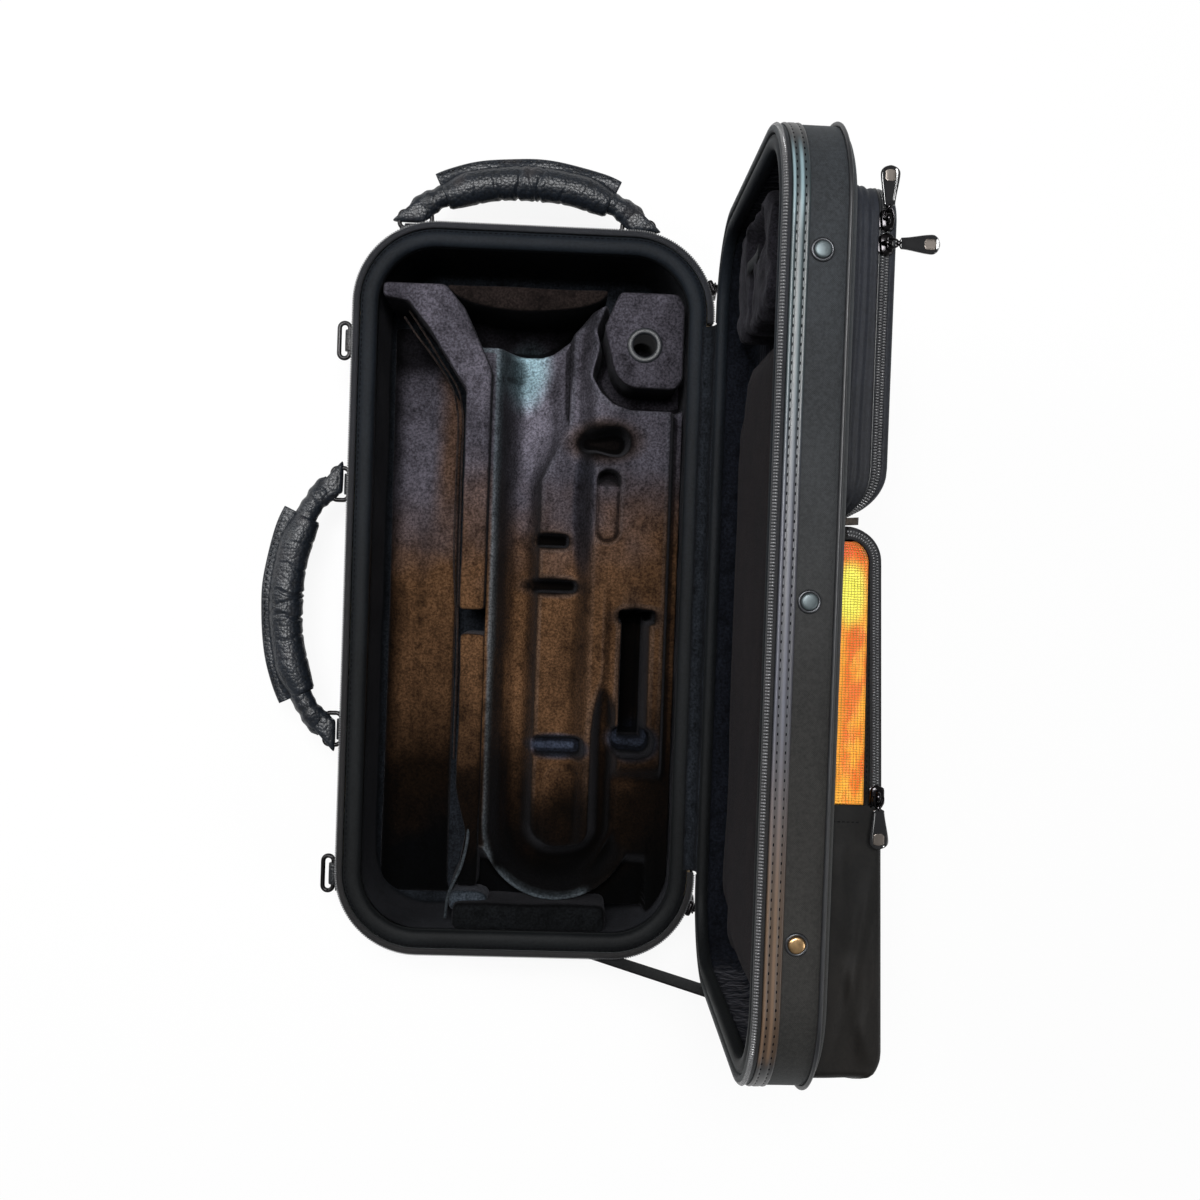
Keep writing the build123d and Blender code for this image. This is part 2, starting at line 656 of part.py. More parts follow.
# ---- Lid: cover, shell, lining, pads ------------------------------------------------------------
lid_height = lid_depth
cover_top = lid_height - zip_height - glue_gap
tub("lid_cover", lid_face, 0, 0, cover_top, skin, skin, edge_radius, edge_radius - skin)
lid_wall_top = lid_height - lid_binding_height - fit_gap
tub("lid_shell", lid_face, shell_low, shell_low, lid_wall_top, lid_wall, lid_floor,
    edge_radius - shell_low, inner_edge_radius)
lid_lining_low = shell_low + lid_floor + glue_gap
lid_lining_inset = shell_low + lid_wall + glue_gap
tub("lid_lining", lid_face, lid_lining_inset, lid_lining_low, lid_wall_top, lid_lining_wall, lid_lining_wall,
    inner_edge_radius - glue_gap, lining_corner)
ring("lid_rim_binding", lid_face, lid_height - lid_binding_height, lid_height, binding_in,
     binding_in + lid_binding_width, top_radius=binding_round)
ring("lid_zip", lid_face, lid_height - zip_height, lid_height, 0, zip_width, top_radius=1.0,
     gap=spine_length + 2 * spine_clearance)
band_top = lid_height - zip_height - glue_gap
ring("lid_band", lid_face, band_top - band_width, band_top, -band_thickness - glue_gap, -glue_gap,
     gap=spine_length + 2 * spine_clearance)
ring("lid_piping", lid_face, edge_radius - 4.0, edge_radius - 4.0 + piping_size, -piping_size - glue_gap,
     -glue_gap, top_radius=1.0, bottom_radius=1.0)

pad_low = lid_lining_low + lid_lining_wall + glue_gap
lid_inset = lid_lining_inset + lid_lining_wall


def lid_pad_piece(label, x_span, y_span, height):
    """A velvet-covered foam pad on the inside of the lid; x and y as on the closed case."""
    with BuildPart() as pad:
        with BuildSketch(lid_rim.offset(rim_gap + lid_height - pad_low)):
            with Locations(((x_span[0] + x_span[1]) / 2, (y_span[0] + y_span[1]) / 2)):
                Rectangle(x_span[1] - x_span[0], y_span[1] - y_span[0])
            rounded(lid_inset + 2.0, mode=Mode.INTERSECT)
        extrude(amount=-height)
        fillet(pad.faces().sort_by(Axis.X)[0].edges(), radius=lid_pad_round)
    save(pad, label)


lid_half = case_width / 2 - lid_inset
lid_end = case_length / 2 - lid_inset
lid_pad_piece("lid_pad", (-lid_half + lid_pad_margins[0], lid_half - lid_pad_margins[0]),
              (-lid_end + lid_pad_margins[1], lid_block_y - lid_pad_gap), lid_pad_height)
lid_pad_piece("lid_pad_block", lid_block_span, (lid_block_y, lid_end - lid_block_margin), lid_block_height)

# ---- Lid: studs on the free side ----------------------------------------------------------------
free_side_z = base_depth + case_width
with BuildPart() as lid_studs:
    for stud_y in stud_ys:
        stud_plane = Plane(origin=(hinge_x + stud_depth, stud_y, free_side_z + glue_gap), z_dir=(0, 0, 1))
        with BuildSketch(stud_plane):
            Circle(stud_ring_radius)
        extrude(amount=0.8)
        with BuildSketch(stud_plane):
            Circle(stud_cap_radius)
        extrude(amount=stud_cap_height)
    fillet(lid_studs.faces().group_by(Axis.Z)[-1].edges(), radius=1.1)
save(lid_studs, "lid_studs")

# ---- Hinge fabric and stay strap ----------------------------------------------------------------
with BuildPart() as hinge_spine:
    with BuildSketch(Plane.XZ.offset(-spine_length / 2)):
        with Locations((hinge_x + glue_gap, base_depth - spine_reach)):
            Rectangle(spine_thickness, spine_reach - glue_gap, align=(Align.MIN, Align.MIN))
        with Locations((hinge_x + glue_gap, base_depth - glue_gap - spine_thickness)):
            Rectangle(spine_reach, spine_thickness, align=(Align.MIN, Align.MIN))
    extrude(amount=spine_length)
save(hinge_spine, "hinge_spine")

with BuildPart() as hinge_gusset:
    with BuildSketch(Plane.XZ.offset(-spine_length / 2)):
        with Locations((hinge_x + rim_gap - fit_gap, base_depth + fit_gap)):
            Rectangle(spine_reach - 5, spine_thickness, align=(Align.MAX, Align.MIN))
            Rectangle(spine_thickness, spine_reach - 5, align=(Align.MAX, Align.MIN))
    extrude(amount=spine_length)
save(hinge_gusset, "hinge_gusset")

stay_out = band_thickness + glue_gap + fit_gap
stay_start = Vector(stay_base_x, base_depth - stay_base_drop)
stay_end = Vector(hinge_x + stay_lid_depth, base_depth + stay_lid_rise)
stay_run = (stay_end - stay_start).length
stay_angle = degrees(atan2(stay_end.Y - stay_start.Y, stay_end.X - stay_start.X))
end_wall = Plane(origin=(0, -case_length / 2, 0), x_dir=(1, 0, 0), z_dir=(0, -1, 0))

with BuildPart() as stay_strap:
    with BuildSketch(end_wall.offset(stay_out)):
        with Locations((stay_start + stay_end) * 0.5):
            SlotOverall(stay_run + stay_width, stay_width, rotation=stay_angle)
        with Locations(stay_start, stay_end):
            Circle(stay_rivet_radius + fit_gap, mode=Mode.SUBTRACT)
    extrude(amount=stay_thickness)
save(stay_strap, "stay_strap")


def stay_rivet(label, place):
    """A rivet that holds one end of the stay: washer, shank and head."""
    with BuildPart() as rivet:
        with BuildSketch(end_wall.offset(glue_gap)):
            with Locations(place):
                Circle(stay_head_radius)
        extrude(amount=stay_out - glue_gap - fit_gap)
        with BuildSketch(end_wall.offset(glue_gap)):
            with Locations(place):
                Circle(stay_rivet_radius)
        extrude(amount=stay_out + stay_thickness + fit_gap)
        with BuildSketch(end_wall.offset(stay_out + stay_thickness + glue_gap)):
            with Locations(place):
                Circle(stay_head_radius)
        extrude(amount=rivet_height)
    save(rivet, label)


stay_rivet("stay_base_rivet", stay_start)
stay_rivet("stay_lid_rivet", stay_end)

# ---- Pockets on the lid's outer face ------------------------------------------------------------
pocket_half = case_width / 2 - pocket_margin
pocket_face = lid_rim.offset(rim_gap + lid_height + glue_gap)
pocket_side_z = base_depth + case_width / 2 + pocket_half


def pocket_outline(inset, mode=Mode.ADD):
    """The upper pocket seen from outside the lid."""
    with Locations((0, (upper_top + upper_bottom) / 2)):
        RectangleRounded(2 * (pocket_half - inset), upper_top - upper_bottom - 2 * inset, pocket_corner - inset,
                         mode=mode)


def pocket_ring(label, low, high, outer, inner):
    """A band of the upper pocket's wall."""
    with BuildPart() as wall:
        with BuildSketch(pocket_face.offset(low)):
            pocket_outline(outer)
            pocket_outline(inner, mode=Mode.SUBTRACT)
        extrude(amount=high - low)
    save(wall, label)


pocket_ring("upper_pocket_gusset", 0, upper_gusset, 0, pocket_wall)
upper_zip_low = upper_gusset + glue_gap
upper_zip_high = upper_zip_low + upper_zip_height
pocket_ring("upper_pocket_zip", upper_zip_low, upper_zip_high, 0.3, pocket_wall - 0.3)
with BuildPart() as upper_pocket_front:
    with BuildSketch(pocket_face.offset(upper_zip_high + fit_gap)):
        pocket_outline(0)
    extrude(amount=upper_front)
    fillet(upper_pocket_front.faces().sort_by(Axis.X)[-1].edges(), radius=3.5)
save(upper_pocket_front, "upper_pocket_front")

# The lower pocket is deeper at its low end: its side view is drawn, then carried across the lid.
pocket_x = lid_face_x + glue_gap
front_length = lower_top - lower_bottom - 2 * lower_corner
front_rise = (lower_thick - lower_thin) / front_length
front_angle = degrees(atan2(lower_thick - lower_thin, front_length))


def lower_side_view(inset):
    """The lower pocket seen along the lid's short way."""
    top, bottom, corner = lower_top - inset, lower_bottom + inset, lower_corner - inset
    thin, thick = pocket_x + lower_thin - inset, pocket_x + lower_thick - inset
    with BuildLine() as edge:
        Polyline((pocket_x, top), (thin - corner, top))
        ThreePointArc((thin - corner, top), (thin - 0.293 * corner, top - 0.293 * corner), (thin, top - corner))
        Polyline((thin, top - corner), (thick, bottom + corner))
        ThreePointArc((thick, bottom + corner), (thick - 0.293 * corner, bottom + 0.293 * corner),
                      (thick - corner, bottom))
        Polyline((thick - corner, bottom), (pocket_x, bottom), (pocket_x, top))
    make_face(edge.edges())


with BuildPart() as lower_pocket_body:
    with BuildSketch(Plane.XY.offset(pocket_side_z - 2 * pocket_half)):
        lower_side_view(0)
    extrude(amount=2 * pocket_half)
    with BuildSketch(Plane.XY.offset(pocket_side_z - 2 * pocket_half + pocket_wall)):
        lower_side_view(pocket_wall)
    extrude(amount=2 * (pocket_half - pocket_wall), mode=Mode.SUBTRACT)
    # The mesh window in the free side.
    with BuildSketch(Plane.XY.offset(pocket_side_z - 2 * pocket_wall)):
        with Locations((pocket_x + window_in, window_bottom)):
            Rectangle(lower_thin - window_in - window_out, window_top - window_bottom,
                      align=(Align.MIN, Align.MIN))
    extrude(amount=3 * pocket_wall, mode=Mode.SUBTRACT)
    # Its low corners follow the lid's.
    with BuildSketch(pocket_face.offset(-1)):
        rounded(pocket_end_inset)
    extrude(amount=lower_thick + 2, mode=Mode.INTERSECT)
save(lower_pocket_body, "lower_pocket_body")

with BuildPart() as mesh_panel:
    with BuildSketch(Plane.XY.offset(pocket_side_z - 1.6)):
        with Locations((pocket_x + window_in + fit_gap, window_bottom + fit_gap)):
            Rectangle(lower_thin - window_in - window_out - 2 * fit_gap,
                      window_top - window_bottom - 2 * fit_gap, align=(Align.MIN, Align.MIN))
    extrude(amount=1.2)
save(mesh_panel, "mesh_panel")

# The zip runs out along the lower pocket's top corner, then down beside the window.
zip_corner = lower_corner - chain_width
zip_centre_x = pocket_x + lower_thin - lower_corner
zip_centre_y = lower_top - lower_corner
with BuildPart() as lower_pocket_zip:
    with BuildSketch(Plane.XY.offset(pocket_side_z + glue_gap)):
        with BuildLine():
            CenterArc((zip_centre_x, zip_centre_y), zip_corner, 0, 90)
            Line((zip_centre_x + zip_corner, zip_centre_y),
                 (zip_centre_x + zip_corner + front_rise * (zip_centre_y - window_bottom), window_bottom))
        trace(line_width=chain_width)
    extrude(amount=chain_height)
save(lower_pocket_zip, "lower_pocket_zip")

front_plane = Plane(
    origin=(pocket_x + lower_thin + front_rise * (lower_top - lower_corner - badge_y) + glue_gap, badge_y,
            base_depth + case_width / 2),
    x_dir=(0, 0, 1), z_dir=(cos(radians(front_angle)), sin(radians(front_angle)), 0),
)
with BuildPart() as blank_badge:
    with BuildSketch(front_plane):
        RectangleRounded(badge_width, badge_length, 3.0)
    extrude(amount=badge_thickness)
save(blank_badge, "blank_badge")

with BuildPart() as pocket_tab:
    with BuildSketch(Plane.XY.offset(pocket_side_z + glue_gap)):
        with Locations((zip_centre_x - 2 * fit_gap, lower_top)):
            Rectangle(pocket_tab_width / 2, pocket_tab_length, align=(Align.MAX, Align.MAX))
    extrude(amount=1.2)
save(pocket_tab, "pocket_tab")


# ---- Zip sliders and their pulls ----------------------------------------------------------------
def slider(label, plane, pull_along):
    """A zip slider on a plane that lies on the chain, with a bail for its pull."""
    with BuildPart() as body:
        with BuildSketch(plane):
            RectangleRounded(slider_length, slider_height, 2.5)
        extrude(amount=slider_thickness)
        fillet(body.faces().sort_by(Axis(plane.origin, plane.z_dir))[-1].edges(), radius=1.0)
        top = plane.origin + plane.z_dir * slider_thickness
        with BuildSketch(Plane(origin=top, x_dir=pull_along, z_dir=pull_along.cross(plane.z_dir))):
            inner_top = pin_rise + pin_radius + fit_gap
            with Locations((0, -bail_wall / 2)):
                Rectangle(2 * (bail_half_gap + bail_wall), inner_top + 1.5 * bail_wall,
                          align=(Align.CENTER, Align.MIN))
            Rectangle(2 * bail_half_gap, inner_top, align=(Align.CENTER, Align.MIN), mode=Mode.SUBTRACT)
        extrude(amount=bail_width / 2, both=True)
    save(body, label)


def pull(label, plane):
    """A pull: a pin under the bail, two arms and a tab. Local y runs along the pull."""
    axis = plane.origin + plane.z_dir * (slider_thickness + pin_rise)
    with BuildPart() as tab:
        arm_out = arm_in + arm_width
        with BuildSketch(Plane(origin=axis, x_dir=plane.y_dir, z_dir=plane.x_dir)):
            Circle(pin_radius)
        extrude(amount=arm_out, both=True)
        with BuildSketch(Plane(origin=axis, x_dir=plane.x_dir, z_dir=plane.z_dir)):
            with Locations((-arm_in - arm_width / 2, -pin_radius), (arm_in + arm_width / 2, -pin_radius)):
                Rectangle(arm_width, arm_length, align=(Align.CENTER, Align.MIN))
            with Locations((0, arm_length + pull_length / 2 - 2.0)):
                RectangleRounded(pull_width, pull_length, 2.5)
        extrude(amount=pin_radius, both=True)
    save(tab, label)


def corner_slider(name, side):
    """One of the two main sliders, parked on the corner beside the hinge."""
    angle = radians(slider_angle)
    out = Vector(cos(angle), side * sin(angle), 0)
    along = Vector(-sin(angle), side * cos(angle), 0)
    chain = Vector(corner_x, side * corner_y, base_depth - fit_gap - zip_height / 2) + out * (
        corner_radius + fit_gap)
    slider(f"{name}_slider", Plane(origin=chain, x_dir=along, z_dir=out), Vector(0, 0, -1))
    pull(f"{name}_pull", Plane(origin=chain, x_dir=Vector(0, 0, -1).cross(out), z_dir=out))


corner_slider("main_low", -1)
corner_slider("main_high", 1)

side_up = Vector(0, 0, 1)
upper_chain_x = pocket_x + (upper_zip_low + upper_zip_high) / 2
for name, slider_y, pull_along in (
    ("upper_pocket_first", upper_slider_ys[0], Vector(0, 1, 0)),
    ("upper_pocket_second", upper_slider_ys[1], Vector(1, 0, 0)),
):
    seat = Vector(upper_chain_x, slider_y, pocket_side_z + fit_gap)
    slider(f"{name}_slider", Plane(origin=seat, x_dir=(0, 1, 0), z_dir=side_up), pull_along)
    pull(f"{name}_pull", Plane(origin=seat, x_dir=pull_along.cross(side_up), z_dir=side_up))

# The lower pocket's slider is parked at the low end of its zip, its pull hanging down the pocket.
chain_along = Vector(-sin(radians(front_angle)), cos(radians(front_angle)), 0)
chain_low = Vector(zip_centre_x + zip_corner + front_rise * (zip_centre_y - window_bottom), window_bottom,
                   pocket_side_z + glue_gap + chain_height + fit_gap)
lower_seat = chain_low + chain_along * slider_length / 2
slider("lower_pocket_slider", Plane(origin=lower_seat, x_dir=chain_along, z_dir=side_up), chain_along * -1)
pull("lower_pocket_pull", Plane(origin=lower_seat, x_dir=(chain_along * -1).cross(side_up), z_dir=side_up))
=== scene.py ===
# %% [markdown]
# # A trumpet case, sewn piece by piece
# The case is a hard shell covered in woven nylon, lined with velvet and closed by a zip. The CAD
# model gives the frame: where each piece sits, how large it is and how it moves. Blender gives the
# surface: cloth that bulges, seams, teeth, leather and worn metal. So this lesson starts from the
# frame, keeps its size, and hangs every sewn piece on the body that carries it.

# %% Load the fixed frame
import json
import math
from contextlib import contextmanager

import bmesh
import bpy
import numpy as np
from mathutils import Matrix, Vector, noise


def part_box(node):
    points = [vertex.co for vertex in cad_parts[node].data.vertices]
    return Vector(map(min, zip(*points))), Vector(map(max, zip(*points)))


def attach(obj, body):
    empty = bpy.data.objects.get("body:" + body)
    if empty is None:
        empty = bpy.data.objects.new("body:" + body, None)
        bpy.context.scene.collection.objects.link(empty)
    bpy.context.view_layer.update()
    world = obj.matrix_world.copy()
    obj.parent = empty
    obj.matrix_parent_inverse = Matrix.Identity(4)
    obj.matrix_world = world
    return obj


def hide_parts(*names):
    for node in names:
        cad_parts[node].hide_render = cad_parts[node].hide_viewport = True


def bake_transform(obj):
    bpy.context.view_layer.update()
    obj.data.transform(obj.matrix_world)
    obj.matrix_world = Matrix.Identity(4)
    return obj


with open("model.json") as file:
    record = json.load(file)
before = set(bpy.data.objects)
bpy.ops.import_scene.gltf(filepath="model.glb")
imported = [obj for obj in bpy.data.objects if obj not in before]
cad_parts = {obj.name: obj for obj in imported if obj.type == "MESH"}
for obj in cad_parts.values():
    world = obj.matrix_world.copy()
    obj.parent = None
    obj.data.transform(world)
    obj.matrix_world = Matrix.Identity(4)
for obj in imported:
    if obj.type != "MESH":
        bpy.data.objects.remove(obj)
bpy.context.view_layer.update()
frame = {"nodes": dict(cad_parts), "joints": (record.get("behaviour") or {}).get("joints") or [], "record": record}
mm = 0.001


# %% [markdown]
# Sizes are read from the frame, in millimetres, because a maker thinks in millimetres. The two
# halves share one rounded outline. On the base a point is given by its place on the outline and its
# height from the rim. The lid stands open, so the same point is turned to stand on end there: what
# was across the case now points down.

# %% Sizes that everything else leans on
def box_of(node):
    """A node's lowest and highest corners in millimetres."""
    low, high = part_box(node)
    return np.array(low) / mm, np.array(high) / mm


def joint_place(name):
    """Where a joint is, in millimetres, its axis and the far end of its travel."""
    joint = next(j for j in frame["joints"] if j["name"] == name)
    reach = joint.get("range_deg") or joint.get("range_m")
    place = joint.get("pos_m") or (0, 0, 0)
    return np.array(place) / mm, np.array(joint["axis"], float), max(reach, key=abs)


half_width, half_length = box_of("base_cover")[1][:2]
rim_z = box_of("base_rim_binding")[1][2]
corner_core = joint_place("main_high_slider_travel")[0][:2]
corner_radius = half_width - corner_core[0]
lid_rim_x = box_of("lid_rim_binding")[0][0]
lid_face_x = box_of("lid_cover")[1][0]
lid_deep = lid_face_x - lid_rim_x
hinge_gap = 2 * box_of("hinge_spine")[1][1] + 6.0
print(f"half the case: {half_width:.1f} x {half_length:.1f}, corner {corner_radius:.1f}")
print(f"the lid is {lid_deep:.1f} deep")


def on_base(x, y, height):
    """World places on the base, for heights measured up from the rim."""
    return np.stack(np.broadcast_arrays(x, y, rim_z + height), -1).astype(float)


def on_lid(x, y, height):
    """World places on the open lid, for heights measured from its rim, negative into the lid."""
    return np.stack(np.broadcast_arrays(lid_rim_x - height, y, rim_z + half_width - x), -1).astype(float)


# %% [markdown]
# A finish is a recipe of nodes. Wiring nodes by hand is slow to read, so a small class wraps one
# socket and lets ordinary sums build the nodes: `grain * 0.4 + 0.6` adds a multiply and an add.
# Numbers go through Math nodes, colours and vectors through Vector Math, and every other kind of
# node comes from one method, `node`.

# %% Sums on sockets
def is_vector(value):
    if isinstance(value, Strand):
        return value.socket.type in ("VECTOR", "RGBA")
    return isinstance(value, (tuple, list))


class Strand:
    """One value inside a finish. Sums on it add the nodes that work them out."""

    def __init__(self, finish, socket):
        self.finish = finish
        self.socket = socket

    def sum(self, operation, *values):
        kind = "ShaderNodeVectorMath" if any(is_vector(v) for v in values) else "ShaderNodeMath"
        return self.finish.node(kind, {"operation": operation}, dict(enumerate(values)))

    def __add__(self, other):
        return self.sum("ADD", self, other)

    def __sub__(self, other):
        return self.sum("SUBTRACT", self, other)

    def __rsub__(self, other):
        return self.sum("SUBTRACT", other, self)

    def __mul__(self, other):
        return self.sum("MULTIPLY", self, other)

    def __pow__(self, other):
        return self.sum("POWER", self, other)

    def __abs__(self):
        return self.sum("ABSOLUTE", self)

    __radd__ = __add__
    __rmul__ = __mul__

    def wave(self, pitch):
        """A smooth wave from 0 to 1 that repeats every pitch."""
        return (self * (2 * math.pi / pitch)).sine() * 0.5 + 0.5

    def sine(self):
        return self.sum("SINE", self)

    def highest(self, other):
        return self.sum("MAXIMUM", self, other)

    def band(self, low, high):
        """0 up to low, 1 from high, and a smooth change between them."""
        values = {"Value": self, "From Min": low, "From Max": high}
        return self.finish.node("ShaderNodeMapRange", {"interpolation_type": "SMOOTHSTEP"}, values)

    def mixed(self, mask, other):
        """This colour, with another in its place where the mask is 1."""
        return self.finish.mix(mask, self, other)

    def part(self, axis):
        """One of a vector's three parts."""
        return self.finish.node("ShaderNodeSeparateXYZ", {}, {0: self}, axis)


# %% The recipe itself
class Finish:
    """A material: its nodes, and the shader that they feed."""

    def __init__(self, name):
        self.material = bpy.data.materials.new(name)
        self.material.use_nodes = True
        self.tree = self.material.node_tree
        self.shader = self.tree.nodes["Principled BSDF"]

    def node(self, kind, settings=None, values=None, output=0):
        """Any node: its settings first, then the values or links of its sockets."""
        made = self.tree.nodes.new(kind)
        for key, value in (settings or {}).items():
            if key == "stops":
                self.fill_ramp(made.color_ramp, value)
            else:
                setattr(made, key, value)
        for key, value in (values or {}).items():
            self.plug(made.inputs[key], value)
        return Strand(self, made.outputs[output])

    def plug(self, socket, value):
        if isinstance(value, Strand):
            self.tree.links.new(value.socket, socket)
        elif socket.type == "RGBA":
            socket.default_value = (*value, 1.0)
        elif socket.type == "VECTOR" and not isinstance(value, (tuple, list)):
            socket.default_value = (value,) * 3
        else:
            socket.default_value = value

    def fill_ramp(self, ramp, stops):
        while len(ramp.elements) < len(stops):
            ramp.elements.new(1.0)
        for element, (place, colour) in zip(ramp.elements, stops):
            element.position = place
            element.color = (*colour, 1.0)

    def set(self, values):
        for key, value in values.items():
            self.plug(self.shader.inputs[key], value)

    def place(self):
        """A point's place on its piece, in metres."""
        return self.node("ShaderNodeTexCoord", output="Object")

    def facing(self):
        return self.node("ShaderNodeTexCoord", output="Normal")

    def thread(self):
        """Millimetres along and across the cloth, as the piece's pattern laid it out."""
        return self.node("ShaderNodeUVMap", {"uv_map": "thread"})

    def noise(self, place, scale, detail=2.0, roughness=0.5):
        values = {"Vector": place, "Scale": scale, "Detail": detail, "Roughness": roughness}
        return self.node("ShaderNodeTexNoise", {}, values)

    def mix(self, mask, first, second):
        values = {0: mask, 6: first, 7: second}
        return self.node("ShaderNodeMix", {"data_type": "RGBA"}, values, 2)

    def relief(self, height, depth, strength=1.0):
        """A bump of that depth in millimetres, where height runs from 0 to 1."""
        values = {"Strength": strength, "Distance": depth * mm, "Height": height}
        self.set({"Normal": self.node("ShaderNodeBump", {}, values)})


# %% [markdown]
# Velvet is short upright pile. It has almost no gloss, and brushing leaves paler and darker
# patches. Three noises give those patches: brush marks, ragged blotches and the pile itself. Its
# light on level faces and its black on walls and in hollows are painted light and shade in the colour.
# The hue is painted light by place too: lilac grey at the end handle, warm brown in the middle and
# near black at the other end, as painted shade. Rims on the cradle get slate painted highlights.

# %% Velvet
# Lilac and umber are painted light tints laid by place, and the near black is painted shade. Slate, teal, brown
# and blue serve painted highlights and painted shade on the cradle.
lilac = (0.088, 0.082, 0.102)
umber = (0.098, 0.050, 0.024)
painted_shade_black = (0.008, 0.010, 0.013)
rim_highlight_slate = (0.080, 0.098, 0.112)
glow_highlight_teal = (0.050, 0.082, 0.092)
lit_rim_brown = (0.060, 0.038, 0.028)
shade_blue = (0.034, 0.042, 0.064)


# Places where the cradle's velvet is painted dark as painted shade, and recesses whose floor gets
# painted blue shade: the middle in x and y, and the reach each way, in metres, and for the blue
# the share of it. The last place is a painted teal highlight.
painted_shade_places = (
    (0.0565, 0.1185, 0.0230, 0.0135),
    (0.0190, 0.0412, 0.0150, 0.0068),
    (0.0195, 0.0058, 0.0220, 0.0070),
    (0.0860, -0.0155, 0.0165, 0.0070),
    (0.0825, -0.0600, 0.0095, 0.0480),
)
blue_shade_places = (
    (0.0280, -0.1187, 0.0215, 0.0085, 1.0),
    (0.0860, -0.1125, 0.0185, 0.0125, 1.0),
    (0.0425, 0.0680, 0.0080, 0.0420, 0.5),
)
painted_glow_place = (-0.0065, 0.174, 0.021, 0.034)
ridge_line = 0.018


def off_spot(x, y, spot):
    """How far a point is from a place: 0 in its middle and 1 at its reach."""
    middle_x, middle_y, reach_x, reach_y = spot
    return ((x - middle_x) * (1 / reach_x)) ** 2.0 + ((y - middle_y) * (1 / reach_y)) ** 2.0


def spot_mask(x, y, spot, soft=1.6):
    """1 in the middle of a place and 0 outside it, with a soft edge."""
    return 1.0 - off_spot(x, y, spot).band(0.55, soft)


def tray_painted_light(x, y, drift, base, shade):
    """The tray's velvet with painted light and shade: grey on its left and warm on its right at the top, painted
    shade along the left wall and at both ends.
    """
    # Painted light: the hue is grey on the left and warm on the right at the top.
    side = x + drift * 0.03
    high = y.band(0.02, 0.10)
    right = side.band(-0.084, -0.066)
    base = base.mixed(high * (1.0 - right) * 0.9, lilac)
    base = base.mixed(high * right * 0.8, umber)
    # Painted shade: a dark strip along the left wall, darker towards the low end, and darker under the top edge.
    ragged = y + drift * 0.05
    shade = shade * (side.band(-0.117, -0.096) * 0.9 + 0.1) * (ragged.band(-0.15, -0.085) * 0.92 + 0.08)
    return base, shade * (1.0 - ragged.band(0.160, 0.186) * 0.92)


def cradle_painted_light(finish, x, y, z, drift, base, shade, fade):
    """The cradle's velvet with painted light and shade: painted highlights where it bulges, painted shade where it
    is hollow, and more of both place by place.
    """
    bulge = finish.thread().part(0)
    # Painted highlight: on the outer lips, where the relief bulges, the colour turns slate and keeps its
    # brightness against the painted shade.
    left_or_low = (1.0 - x.band(-0.022, -0.014)).highest(1.0 - y.band(-0.218, -0.206))
    outer = left_or_low * (1.0 - x.band(0.050, 0.062))
    lit_crest = bulge.band(0.10, 0.60) * (outer * 0.85 + 0.15)
    base = base.mixed(lit_crest * 0.8, rim_highlight_slate)
    fade = fade.highest(lit_crest * outer * 0.55)
    # Painted highlight: a bright teal patch near the top of the tube's trough.
    painted_glow = 1.0 - off_spot(x + drift * 0.02, y, painted_glow_place).band(0.1, 1.3)
    base = base.mixed(painted_glow * 0.85, glow_highlight_teal)
    shade = shade * (painted_glow * 2.3 + 1.0)
    # Painted light: the low floor of the trough, left of the middle, is made twice as bright.
    lit_channel_floor = (1.0 - z.band(0.056, 0.070)) * (1.0 - x.band(0.008, 0.020))
    shade = shade * (lit_channel_floor + 1.0)
    # Painted shade: these recesses go near black, with a painted brown rim of light round each.
    for spot in painted_shade_places:
        base = base.mixed(spot_mask(x, y, spot, 2.6) * 0.8, lit_rim_brown)
        shade = shade * (1.0 - spot_mask(x, y, spot) * 0.93)
    # Painted shade in recess floors: blue, and where the share is below 1, darker as well.
    for *spot, share in blue_shade_places:
        ink = spot_mask(x, y, spot, 1.9)
        base = base.mixed(ink * share, shade_blue)
        shade = shade * (1.0 - ink * (1.0 - share) * 0.8)
    # Painted highlight on bulges and painted shade in hollows.
    shade = shade * (lit_crest * 0.45 + 1.0) * (1.0 - (bulge * -1.0).band(0.08, 0.6) * 0.75)
    # Painted shade: the right side, towards the hinge wall, is darkened, more strongly below the upper end.
    shade = shade * (1.0 - (x + drift * 0.02).band(0.060, 0.112) * (1.0 - y.band(0.02, 0.10)) * 0.55)
    shade = shade * (1.0 - x.band(0.045, 0.075) * y.band(0.03, 0.08) * 0.42)
    return base, shade, fade


